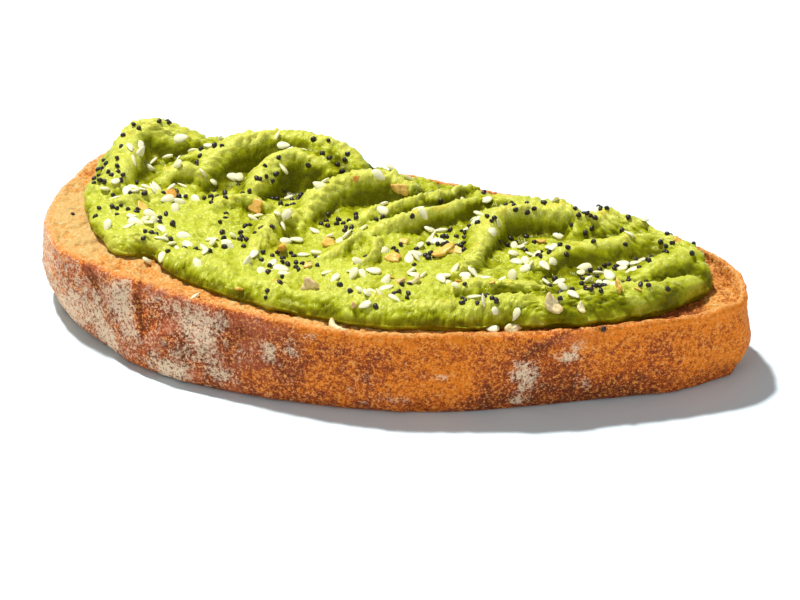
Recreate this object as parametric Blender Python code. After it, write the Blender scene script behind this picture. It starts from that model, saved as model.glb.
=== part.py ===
"""Avocado toast: a toasted slice of crusty bread with a thick layer of mashed avocado swirled on it.

Two solids, in metres, +Z up. The slice lies flat on its cut face, its long side along X and its
straight bottom crust towards +Y, with the origin under the middle of its box.
  toast    the slice: crust wall, raised rim and the crumb face sunk a little inside the rim
  avocado  the spread: a bulging edge round a top of folds and hollows left by the knife
"""

import math

import bmesh
import bpy
import numpy as np
from mathutils import Vector, noise

MM = 0.001

# ---- Toast, in millimetres -------------------------------------------------------------------
TOAST_THICKNESS = 19.5
TOAST_SEGMENTS = 110
RIM_WIDTH = 2.8  # from the outside of the crust to where the crumb levels out
RIM_ROUND = 1.6
RIM_WAVE = 0.45  # how far the rim rises and falls along its length
CRUMB_SINK = 1.4  # the crumb face below the rim, at the middle of the slice
CRUMB_TILT = 0.015  # the crumb sinks this much deeper for each millimetre towards the tip
FOOT_INSET = 2.4  # how far the crust curls in under the slice
FOOT_HEIGHT = 3.0
CRUST_BULGE = 0.5  # how far the wall stands out at half height, along the sides
END_BULGE = 1.3  # the same at the two ends
CRUST_DENT = 0.45
DENT_SIZE = 11.0

# The cut face's edge: straight bottom crust along +Y, blunt heel at -X, narrow tip at +X.
# The third number is how far the wall has spread out by the time it reaches the table.
SLICE_OUTLINE = [
    (76.2, 7.0, -1.6), (72.4, 16.6, -0.5), (64.0, 23.6, 0.0), (42.0, 30.0, 0.0),
    (12.0, 33.3, 0.0), (-24.0, 35.0, 0.0), (-54.0, 34.8, 0.0), (-70.5, 28.0, -0.2),
    (-75.4, 14.0, -0.6), (-76.2, 0.0, -1.4), (-73.8, -12.0, -2.0), (-66.0, -22.6, -2.4),
    (-54.5, -27.8, -0.2), (-42.0, -30.6, 3.4), (-28.0, -33.4, 3.2), (-10.0, -35.2, 1.0),
    (8.0, -33.9, -0.2), (24.0, -28.7, 0.0), (38.0, -23.0, -1.4), (52.0, -15.4, -2.0),
    (66.0, -6.0, -1.4), (73.2, 0.6, -2.0),
]

# ---- Avocado, in millimetres -----------------------------------------------------------------
SPREAD_LENGTH_CELLS = 62
SPREAD_WIDTH_CELLS = 40
SPREAD_CENTRE = (-1.0, 1.0)
REST_GAP = 0.3  # the solids only touch, so a hair's breadth stays between them
EDGE_BULGE = 0.4
EDGE_LEAST = 0.8  # the lowest that the edge may be over the gap
EDGE_STEPS = 4
LAYER = 3.0  # the layer's height away from the folds and the hollows
BLEND = 0.35  # how far apart in height two folds still melt into each other
LEAN = 0.08  # how far the folds lean over for each millimetre of height
LEAN_TURN = -70.0  # the way they lean, in degrees

# The spread's edge: lobes along the front, close to the crust at the back. The third number is
# the edge's thickness as a share of the thickness just behind it.
SPREAD_OUTLINE = [
    (67.6, 9.0, 0.5), (66.0, 14.5, 0.6), (61.8, 19.0, 0.6), (56.0, 21.6, 0.65),
    (48.0, 24.0, 0.7), (27.0, 27.5, 0.7), (4.0, 29.9, 0.6), (-22.0, 31.0, 0.7),
    (-46.0, 30.6, 0.6), (-60.0, 28.6, 0.6), (-67.6, 23.4, 0.6), (-70.8, 14.0, 0.5),
    (-69.2, 2.0, 0.4), (-66.2, -7.0, 0.35), (-61.0, -14.4, 0.4), (-52.5, -20.4, 0.45),
    (-45.5, -21.6, 0.45), (-38.5, -25.2, 0.4), (-30.0, -27.8, 0.4), (-17.0, -30.0, 0.45),
    (4.0, -30.2, 0.4), (20.0, -25.7, 0.4), (36.0, -18.8, 0.35), (51.0, -11.0, 0.35),
    (61.5, -2.2, 0.35),
]
NOTCH = (-44.6, -21.8, 2.6, 3.4)  # x, y, depth and reach of the nick between the two front lobes
# The knife's folds. Each has how far to the left and to the right of the way along it has fallen by
# FALL, and its crest's points: x, y and height over the crumb.
FALL = 5.0
FOLDS = {
    "heel hump": (6.5, 4.0, (
        (-63, -4, 4.2), (-63, 0, 5.4), (-63, 5, 6.8), (-64, 11, 8.2), (-66, 17, 9.2),
        (-65, 21, 9.9), (-62, 22.5, 9.9), (-59, 23, 9.4), (-56, 23, 8.3), (-53, 23.5, 7.1),
        (-50, 23.5, 6.2),
    )),
    "heel nub": (4.2, 3.4, (
        (-54, 7, 5.4), (-53, 9.5, 6.8), (-51, 11, 7.4), (-48.5, 11.5, 7.0), (-47, 11, 5.8),
    )),
    "saddle": (5, 4, (
        (-52, 17, 6.0), (-49, 18.5, 7.0), (-46.5, 20, 7.6),
    )),
    "back fold": (6.0, 3.8, (
        (-47.5, 11, 4.6), (-47, 15, 6.2), (-46, 19, 7.9), (-43.5, 22.4, 9.0), (-40.6, 24.6, 9.7),
        (-37, 26.4, 10.0), (-33.5, 27.4, 10.1), (-30, 28.2, 10.1), (-27, 28.6, 9.9),
        (-24, 28.6, 9.7), (-21.5, 28, 9.0),
    )),
    "back fold's end": (5, 6.5, (
        (-25, 28, 9.7), (-22, 28, 9.1), (-19, 27, 8.1), (-16.5, 25, 6.8), (-14, 24, 5.6),
    )),
    "middle fold": (5.5, 3.7, (
        (-34.5, 5, 4.4), (-33.5, 9, 6.2), (-32.8, 14, 8.2), (-31.6, 18, 9.3), (-29.2, 21, 9.6),
        (-26, 22, 9.2), (-23, 22, 8.2), (-20.7, 21, 6.9),
    )),
    "tongue": (3, 2.4, (
        (-23.6, 23.8, 5.8), (-20.7, 24.2, 6.5), (-17.4, 24, 6.2),
    )),
    "low nub": (4.5, 3.2, (
        (-41, -1.5, 4.0), (-38.5, 1.5, 5.2), (-35.5, 3.5, 5.9), (-33, 4.6, 6.0), (-30.6, 4, 5.4),
    )),
    "long fold": (5, 4.5, (
        (-24, -20, 4.0), (-25, -14, 4.8), (-25, -8, 5.6), (-24.5, -3.5, 6.4), (-23.5, 0, 6.7),
        (-22, 2, 6.2),
    )),
    "crook": (5, 3.8, (
        (-19.6, 0, 4.6), (-19.6, 5, 6.2), (-19, 10, 7.6), (-17.4, 13.6, 8.4), (-15, 16.6, 8.8),
        (-12, 19, 8.8), (-8.8, 20.6, 8.4), (-5.8, 21, 7.6), (-3, 21, 6.6),
    )),
    "upper blade": (3.4, 2.6, (
        (-9, 5, 4.2), (-6.8, 9.4, 5.0), (-4, 12.4, 5.6), (-0.7, 15.2, 6.1), (2, 18.2, 6.4),
        (5.7, 20.6, 6.4), (8.1, 24, 6.1), (10.7, 27, 5.2),
    )),
    "lower blade": (4.0, 2.6, (
        (-6, -4, 4.0), (-4.6, 0, 4.6), (-3, 3.2, 5.4), (-0.5, 6.4, 6.0), (3, 9.6, 6.4),
        (7, 13, 6.6), (10.3, 17, 6.5), (13, 21, 6.0),
    )),
    "basin lip": (4, 2.8, (
        (-10, -11, 3.8), (-8, -8, 4.7), (-6.9, -4, 5.2), (-5.8, 0, 5.0),
    )),
    "pale ridge": (2.4, 2.6, (
        (-3.3, -12.3, 4.0), (-1.4, -9.5, 4.8), (-0.8, -6, 5.2), (-2, -1, 5.0),
    )),
    "peak": (6, 3.2, (
        (18.5, -7, 4.0), (20, -4, 4.7), (20.7, -0.5, 5.4), (20.2, 4, 6.1), (19.4, 9, 6.8),
        (18.8, 13, 7.0),
    )),
    "back crest": (5.5, 3.0, (
        (18.5, 15, 6.9), (22.5, 17.6, 7.3), (26.6, 19, 7.5), (30.7, 19.8, 7.4), (34.1, 20.8, 6.9),
        (36.4, 21, 5.8),
    )),
    "rear lip": (4, 5, (
        (12.6, 23.2, 5.8), (19.8, 22.5, 6.5), (26.6, 22.3, 7.3), (31, 22.3, 7.4), (34, 22, 6.8),
    )),
    "tip crest": (4, 5.0, (
        (35.7, 18.5, 5.2), (37.5, 20.6, 6.9), (40, 22, 7.7), (43, 22.4, 7.8), (46, 22, 7.3),
        (49.5, 21, 6.6), (53, 19.6, 5.8), (57, 18, 5.0),
    )),
    "tip fold": (6, 4.0, (
        (33.5, 2.5, 4.0), (35, 6, 4.9), (38, 8.4, 5.3), (42, 10.6, 5.5), (45.3, 13.6, 5.5),
        (48, 16.6, 5.7), (51.5, 18, 5.8), (55, 18, 5.6), (60, 17, 5.2),
    )),
    "end fold": (6.5, 4.6, (
        (54.5, 3.5, 4.0), (56, 7, 5.0), (58.2, 10.5, 5.8), (61, 13.2, 6.2), (63.5, 14, 6.0),
        (65.5, 12.5, 5.2),
    )),
    "front roll": (6, 12, (
        (38, -13, 4.2), (43.5, -10.2, 4.9), (47, -8, 5.3), (51, -5.2, 5.4), (55.5, -2.6, 5.5),
        (59, -0.4, 5.4), (62, 1.8, 5.0), (64.5, 4.4, 4.6),
    )),
    "front crest": (5, 3.6, (
        (20, -14, 4.4), (24.5, -11.3, 4.9), (30.2, -9.4, 5.1), (37.2, -8.4, 4.8),
    )),
    "first front lobe": (4, 8, (
        (-10, -25, 4.0), (-4, -25, 4.8), (2, -24.4, 5.2), (7, -23.8, 5.0), (10.5, -24.5, 4.0),
    )),
    "second front lobe": (3, 7, (
        (12.5, -23.6, 4.2), (16, -22.8, 4.6), (20, -21, 4.6), (23, -19, 4.0),
    )),
    "third front lobe": (4, 8, (
        (26, -17.8, 4.4), (30.5, -16, 5.1), (36, -14.2, 4.9), (40, -12.8, 4.2),
    )),
    "left lobe": (4.5, 7, (
        (-55, -17.8, 3.8), (-51, -17.2, 5.0), (-47.5, -17.2, 5.4), (-45, -18.2, 4.6),
    )),
    "middle lobe": (5, 8, (
        (-41, -21.6, 3.8), (-38.6, -20.6, 4.9), (-34.6, -20.6, 5.3), (-30, -22, 5.0),
        (-26.5, -24, 4.2),
    )),
    "right lobe": (4, 8, (
        (-22, -25.6, 4.0), (-17.3, -25.6, 4.6), (-13.3, -25.2, 4.3),
    )),
    "heel ridge": (5, 4, (
        (-60, -5, 4.4), (-57, -2, 5.2), (-53, 1, 5.0),
    )),
}
# Where the knife pressed: x, y, depth, half length, half width and turn in degrees.
HOLLOWS = {
    "under the heel hump": (-59, 11, 0.9, 6, 4, 70),
    "at the back fold's foot": (-41, 15, 1.6, 8, 3.2, 45),
    "seed pocket": (-26.5, 15.5, 1.7, 5, 3, 15),
    "under the low nub": (-30, 5.5, 0.6, 4, 2.5, 10),
    "long basin": (-16, -6, 0.9, 12, 6, 70),
    "crook hollow": (-9.5, 18, 2.4, 5.5, 3, 20),
    "blade basin": (9, -2, 0.7, 10, 6, 60),
    "peak hollow": (24, 12, 1.8, 4, 2.6, 60),
    "under the back crest": (31, 16.5, 0.8, 5, 2.4, 15),
    "tip basin": (46, 7, 0.5, 9, 4.5, 30),
    "end hollow": (63, 7, 0.4, 3, 3, 0),
}
TOAST_COLOUR = (0.56, 0.26, 0.09, 1.0)
AVOCADO_COLOUR = (0.42, 0.47, 0.03, 1.0)


def clear_scene():
    for obj in list(bpy.data.objects):
        bpy.data.objects.remove(obj)


def material(name, colour, roughness):
    made = bpy.data.materials.new(name)
    made.use_nodes = True
    shader = made.node_tree.nodes["Principled BSDF"]
    shader.inputs["Base Color"].default_value = colour
    shader.inputs["Roughness"].default_value = roughness
    shader.inputs["Metallic"].default_value = 0.0
    return made


def add_object(name, bm, finish):
    """Makes the object from millimetres, with its faces pointing out and its round walls smooth."""
    bmesh.ops.recalc_face_normals(bm, faces=bm.faces)
    bmesh.ops.scale(bm, vec=(MM, MM, MM), verts=bm.verts)
    mesh = bpy.data.meshes.new(name)
    bm.to_mesh(mesh)
    bm.free()
    mesh.materials.append(finish)
    mesh.shade_smooth()
    mesh.set_sharp_from_angle(angle=math.radians(50))
    obj = bpy.data.objects.new(name, mesh)
    bpy.context.scene.collection.objects.link(obj)
    return obj


# ---- Curves and fields -----------------------------------------------------------------------
def smooth_curve(corners, steps, closed):
    """Points of the Catmull-Rom curve through the corners, so many for each stretch."""
    corners = np.array(corners, float)
    if closed:
        padded = np.vstack([corners[-1:], corners, corners[:2]])
    else:
        padded = np.vstack([2 * corners[0] - corners[1], corners, 2 * corners[-1] - corners[-2]])
    t = np.linspace(0, 1, steps, endpoint=False)[:, None]
    stretches = []
    for before, here, after, beyond in zip(padded, padded[1:], padded[2:], padded[3:]):
        bend = (2 * before - 5 * here + 4 * after - beyond) * t ** 2
        twist = (3 * here - before - 3 * after + beyond) * t ** 3
        stretches.append((2 * here + (after - before) * t + bend + twist) / 2)
    if not closed:
        stretches.append(corners[-1:])
    return np.vstack(stretches)


def even_loop(loop, count):
    """The closed line as evenly spaced points, with whatever the points carry besides x and y."""
    closed = np.vstack([loop, loop[:1]])
    lengths = np.concatenate([[0], np.cumsum(np.linalg.norm(np.diff(closed[:, :2], axis=0), axis=1))])
    marks = np.linspace(0, lengths[-1], count, endpoint=False)
    return np.stack([np.interp(marks, lengths, column) for column in closed.T], 1)


def outward(loop):
    """Unit normals of a counterclockwise loop, pointing out."""
    along = np.roll(loop, -1, 0) - np.roll(loop, 1, 0)
    along /= np.linalg.norm(along, axis=1)[:, None]
    return np.stack([along[:, 1], -along[:, 0]], 1)


def smooth_step(value, low, high):
    t = np.clip((value - low) / (high - low), 0, 1)
    return t * t * (3 - 2 * t)


def scattered(x, y, size, seed):
    """Noise from about -1 to 1 at points in plan, with features about that size."""
    spots = np.column_stack([x, y, np.zeros(len(x))]) / size + seed * 7.31
    return np.array([noise.noise(Vector(spot), noise_basis="PERLIN_NEW") for spot in spots])


# ---- Toast -----------------------------------------------------------------------------------
def crumb_height(x):
    return TOAST_THICKNESS - CRUMB_SINK - CRUMB_TILT * x


def crust_levels(loop):
    """The wall's levels from the crumb, over the rim, to the underside: offset and height of each."""
    x, y, flare = loop.T
    crumb = crumb_height(x)
    rim = TOAST_THICKNESS + RIM_WAVE * scattered(x, y, 14.0, 1)
    even = np.ones(len(x))
    levels = [(-RIM_WIDTH * even, crumb), (-0.65 * RIM_WIDTH * even, crumb + (rim - crumb) * 0.5)]
    for turn in (70, 40, 12):  # the rounded rim
        a = math.radians(turn)
        levels.append((RIM_ROUND * (math.cos(a) - 1) * even, rim - RIM_ROUND * (1 - math.sin(a))))
    bulge = CRUST_BULGE + (END_BULGE - CRUST_BULGE) * smooth_step(abs(x), 58, 74)
    for down in (0.25, 0.5, 0.78):  # the wall, bellied out at half height and spread out towards its foot
        dent = CRUST_DENT * scattered(x, y, DENT_SIZE, 2 + 5 * down)
        offset = flare * smooth_step(down, -0.1, 1.0) + bulge * math.sin(math.pi * down) + dent
        levels.append((offset, rim * (1 - down)))
    for turn in (20, 52, 80):  # the foot, curled under
        a = math.radians(turn)
        levels.append((flare - FOOT_INSET * (1 - math.cos(a)), FOOT_HEIGHT * (1 - math.sin(a)) * even))
    levels.append((flare - FOOT_INSET, 0 * even))
    return levels


def build_toast():
    loop = even_loop(smooth_curve(SLICE_OUTLINE, 24, closed=True), TOAST_SEGMENTS)
    out = outward(loop[:, :2])
    bm = bmesh.new()
    rings = []
    for offset, height in crust_levels(loop):
        flat = loop[:, :2] + out * offset[:, None]
        ring = [bm.verts.new((x, y, z)) for (x, y), z in zip(flat, height)]
        edges = [bm.edges.new((ring[i - 1], ring[i])) for i in range(len(ring))]
        if rings:
            bmesh.ops.bridge_loops(bm, edges=rings[-1] + edges)
        rings.append(edges)
    for edges in (rings[0], rings[-1]):
        bmesh.ops.edgeloop_fill(bm, edges=edges)
    return add_object("toast", bm, material("toast", TOAST_COLOUR, 0.8))


# ---- Avocado ---------------------------------------------------------------------------------
def fold_height(x, y, fold):
    """Height of one fold over the whole spread: its crest line, falling away to either side."""
    left, right, crest = fold
    line = smooth_curve(crest, 6, closed=False)
    best = np.full(len(x), np.inf)
    height = np.zeros(len(x))
    side = np.zeros(len(x))
    for (ax, ay, az), (bx, by, bz) in zip(line, line[1:]):
        dx, dy = bx - ax, by - ay
        length = math.hypot(dx, dy)
        share = np.clip(((x - ax) * dx + (y - ay) * dy) / length ** 2, 0, 1)
        off_x, off_y = x - ax - share * dx, y - ay - share * dy
        gap = np.hypot(off_x, off_y)
        nearer = gap < best
        best[nearer] = gap[nearer]
        height[nearer] = (az + share * (bz - az))[nearer]
        side[nearer] = ((dx * off_y - dy * off_x) / (length * np.maximum(gap, 1e-9)))[nearer]
    reach = right + (left - right) * (0.5 + 0.5 * side)
    return height - FALL * (best / reach) ** 2


def pressed(x, y, hollow):
    """How far the knife pressed the layer down at each point."""
    centre_x, centre_y, depth, half_length, half_width, turn = hollow
    cos, sin = math.cos(math.radians(turn)), math.sin(math.radians(turn))
    along = ((x - centre_x) * cos + (y - centre_y) * sin) / half_length
    aside = (-(x - centre_x) * sin + (y - centre_y) * cos) / half_width
    return depth * np.exp(-(along ** 2 + aside ** 2))


def relief(x, y):
    """The swirled top's height over the crumb level at the middle of the slice, away from the edge."""
    warp_x = x + scattered(x, y, 7, 21)
    warp_y = y + scattered(x, y, 7, 23)
    ground = LAYER - CRUMB_TILT * x + 0.6 * scattered(x, y, 8, 25)
    ground -= sum(pressed(x, y, hollow) for hollow in HOLLOWS.values())
    heights = np.stack([ground] + [fold_height(warp_x, warp_y, fold) for fold in FOLDS.values()])
    top = heights.max(0)
    return top + BLEND * np.log(np.exp((heights - top) / BLEND).sum(0))


def nested_outline(u, v):
    """Moves points of a square so that nested squares become nested copies of the outline."""
    outline = smooth_curve(SPREAD_OUTLINE, 24, closed=True)[:, :2]
    centre = np.array(SPREAD_CENTRE)
    half = (outline.max(0) - outline.min(0)) / 2
    scaled = (outline - centre) / half
    angle = np.arctan2(scaled[:, 1], scaled[:, 0])
    order = angle.argsort()
    angle, radius = angle[order], np.hypot(*scaled[order].T)
    angle = np.concatenate([angle - 2 * math.pi, angle, angle + 2 * math.pi])
    ring = np.maximum(np.maximum(abs(u), abs(v)), 1e-9)
    sideways = abs(u) >= abs(v)
    side = np.where(ring > 1e-9, np.where(sideways, u, v), 1)
    turn = np.where(sideways, v / side, 2 - u / side) * math.pi / 4
    turn += math.pi * np.where(sideways, u < 0, v < 0)
    reach = ring * np.interp((turn + math.pi) % (2 * math.pi) - math.pi, angle, np.tile(radius, 3))
    x, y = centre[0] + reach * np.cos(turn) * half[0], centre[1] + reach * np.sin(turn) * half[1]
    nick_x, nick_y, depth, size = NOTCH
    pull = depth * np.exp(-((x - nick_x) ** 2 + (y - nick_y) ** 2) / size ** 2)
    return x - 0.25 * pull, y + pull


def spread_height(x, y, edge):
    """The spread's height over the crumb, rounded off towards its edge, and the distance to that edge."""
    outline = smooth_curve(SPREAD_OUTLINE, 24, closed=True)
    gap = np.hypot(x[:, None] - x[edge], y[:, None] - y[edge])
    nearest = gap.argmin(1)
    gap = gap.min(1)
    marker = np.hypot(outline[:, 0] - x[edge][:, None], outline[:, 1] - y[edge][:, None]).argmin(1)
    full = outline[marker[nearest], 2]
    inside = np.clip(gap / (6 - 5 * full), 0, 1)
    height = relief(x, y) + CRUMB_TILT * x
    return height * (full + (1 - full) * np.sqrt(inside * (2 - inside))), gap


def ordered_rim(edges):
    """The boundary edges' vertices, one after the other round the loop."""
    start = edges[0].verts[0]
    ring, edge = [start], edges[0]
    vert = edge.other_vert(start)
    while vert != start:
        ring.append(vert)
        edge = next(e for e in vert.link_edges if e.is_boundary and e != edge)
        vert = edge.other_vert(vert)
    return ring


def build_avocado():
    bm = bmesh.new()
    bmesh.ops.create_grid(bm, x_segments=SPREAD_LENGTH_CELLS, y_segments=SPREAD_WIDTH_CELLS, size=1.0)
    bm.verts.ensure_lookup_table()
    square = np.array([vert.co[:2] for vert in bm.verts])
    x, y = nested_outline(square[:, 0], square[:, 1])
    ring = ordered_rim([e for e in bm.edges if e.is_boundary])
    height, gap = spread_height(x, y, np.array([vert.index for vert in ring]))
    lean = LEAN * np.clip(height - LAYER, 0, None) * smooth_step(gap, 0, 4)
    for vert, flat_x, flat_y, over, shift in zip(bm.verts, x, y, height, lean):
        top = crumb_height(flat_x) + max(over, EDGE_LEAST + REST_GAP)
        turn = math.radians(LEAN_TURN)
        vert.co = (flat_x + shift * math.cos(turn), flat_y + shift * math.sin(turn), top)

    rim = np.array([vert.co[:] for vert in ring])
    out = outward(rim[:, :2])
    if (out * (rim[:, :2] - SPREAD_CENTRE)).sum() < 0:
        out = -out
    foot = crumb_height(rim[:, 0]) + REST_GAP
    edges = [bm.edges.get((ring[i - 1], ring[i])) for i in range(len(ring))]
    for step in range(1, EDGE_STEPS + 1):
        share = step / EDGE_STEPS
        bulge = EDGE_BULGE * (math.sin(math.pi * share) - share ** 2)
        flat = rim[:, :2] + out * bulge
        level = rim[:, 2] + (foot - rim[:, 2]) * share
        lower = [bm.verts.new((px, py, pz)) for (px, py), pz in zip(flat, level)]
        made = [bm.edges.new((lower[i - 1], lower[i])) for i in range(len(lower))]
        bmesh.ops.bridge_loops(bm, edges=edges + made)
        edges = made
    bmesh.ops.edgeloop_fill(bm, edges=edges)
    return add_object("avocado", bm, material("avocado", AVOCADO_COLOUR, 0.35))


def main():
    clear_scene()
    build_toast()
    build_avocado()


main()
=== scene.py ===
"""Avocado toast: a floured, toasted slice of crusty bread under swirled avocado and scattered seeds.

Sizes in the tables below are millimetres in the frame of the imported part: +X along the slice
towards its narrow tip, +Y towards its straight bottom crust, +Z up from the table.
"""

import copy
import math

import bpy
import numpy as np
from bpy.props import FloatProperty, FloatVectorProperty, IntProperty, PointerProperty
from bpy.types import Operator, Panel, PropertyGroup
from mathutils import Matrix, Vector, noise
from mathutils.bvhtree import BVHTree


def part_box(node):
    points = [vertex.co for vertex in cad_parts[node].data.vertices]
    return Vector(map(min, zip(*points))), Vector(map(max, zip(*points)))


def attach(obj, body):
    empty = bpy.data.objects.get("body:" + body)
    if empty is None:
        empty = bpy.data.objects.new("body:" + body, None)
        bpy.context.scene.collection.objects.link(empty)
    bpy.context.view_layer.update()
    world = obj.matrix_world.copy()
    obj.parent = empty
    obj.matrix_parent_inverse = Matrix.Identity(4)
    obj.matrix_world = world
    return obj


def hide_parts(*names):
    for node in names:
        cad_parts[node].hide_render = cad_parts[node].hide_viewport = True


bl_info = {
    "name": "Avocado Toast",
    "version": (1, 0, 0),
    "blender": (4, 5, 0),
    "location": "3D View > Sidebar > Toast",
    "description": "Dresses a slice of toast with crust, crumb, swirled avocado and seeds",
    "category": "Object",
}

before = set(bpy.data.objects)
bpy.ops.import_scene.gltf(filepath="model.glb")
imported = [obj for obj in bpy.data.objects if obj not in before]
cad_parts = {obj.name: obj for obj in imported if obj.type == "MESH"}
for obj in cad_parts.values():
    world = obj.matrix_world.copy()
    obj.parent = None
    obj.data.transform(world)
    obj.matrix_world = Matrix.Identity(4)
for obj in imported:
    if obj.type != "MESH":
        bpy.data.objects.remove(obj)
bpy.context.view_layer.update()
TOAST_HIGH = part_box("toast")[1].z

MM = 0.001

# ---- The slice ----
RIM_LEVEL = TOAST_HIGH / MM - 0.2
CRUMB_LEVEL = RIM_LEVEL - 1.4
CRUMB_TILT = 0.015  # the crumb sinks this much for each millimetre towards the tip
RIM_WIDTH = 2.8
RIM_TOP = 1.3  # how far in from the outer edge the rim starts to round off
RIM_ROUND, RIM_DROP = 1.5, 1.6  # how far it rounds off, inwards and down
WALL_TOP = 1.7  # how far under the rim the wall starts
CRUMB_REACH = 12.0  # how far in from the rim the crumb has pores; the avocado hides the rest
# How far the wall stands out: at half height along the sides, and lower down at the ends.
BELLY, END_BELLY = 0.5, 1.9
FOOT_INSET = 2.4
FOOT_HEIGHT = 3.0

# The cut face's edge: straight bottom crust along +Y, blunt heel at -X, narrow tip at +X.
# The third number is how far the wall has spread out by the time it reaches the table.
SLICE_OUTLINE = [
    (76.2, 7.0, -1.6), (72.4, 16.6, -0.5), (64.0, 23.6, 0.0), (42.0, 30.0, 0.0),
    (12.0, 33.3, 0.0), (-24.0, 35.0, 0.0), (-54.0, 34.8, 0.0), (-70.5, 28.0, -0.2),
    (-75.4, 14.0, -0.6), (-76.2, 0.0, -1.4), (-73.8, -12.0, -2.0), (-66.0, -22.6, -2.4),
    (-54.5, -27.8, -0.2), (-42.0, -30.6, 3.4), (-28.0, -33.4, 3.2), (-10.0, -35.2, 1.0),
    (8.0, -33.9, -0.2), (24.0, -28.7, 0.0), (38.0, -23.0, -1.4), (52.0, -15.4, -2.0),
    (66.0, -6.0, -1.4), (73.2, 0.6, -2.0),
]
SLICE_SPINE = ((-42.0, 3.0), (46.0, 8.0))  # the line that every inset ring draws in towards

# ---- The spread ----
SPREAD_CENTRE = (-1.0, 1.0)
# The spread's edge. The third number is the edge's thickness as a share of that just behind it.
SPREAD_OUTLINE = [
    (67.6, 9.0, 0.5), (66.0, 14.5, 0.6), (61.8, 19.0, 0.6), (56.0, 21.6, 0.65),
    (48.0, 24.0, 0.7), (27.0, 27.5, 0.7), (4.0, 29.9, 0.6), (-22.0, 31.0, 0.7),
    (-46.0, 30.6, 0.6), (-60.0, 28.6, 0.6), (-67.6, 23.4, 0.6), (-70.8, 14.0, 0.5),
    (-69.2, 2.0, 0.4), (-66.2, -7.0, 0.35), (-61.0, -14.4, 0.4), (-52.5, -20.4, 0.45),
    (-45.5, -21.6, 0.45), (-38.5, -25.2, 0.4), (-30.0, -27.8, 0.4), (-17.0, -30.0, 0.45),
    (4.0, -30.2, 0.4), (20.0, -25.7, 0.4), (36.0, -18.8, 0.35), (51.0, -11.0, 0.35),
    (61.5, -2.2, 0.35),
]
NOTCH = (-44.6, -21.8, 2.6, 3.4)  # x, y, depth and reach of the nick between the two front lobes
# The edge thins out over EDGE_REACH, less EDGE_KEEP times the share of thickness that it keeps.
EDGE_REACH, EDGE_KEEP = 6.0, 5.0
LAYER = 3.0
BLEND = 0.35  # how far apart in height two folds still melt into each other
LEAN = 0.08  # how far the folds lean over for each millimetre of height
LEAN_TURN = -70.0  # the way they lean, in degrees

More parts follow.
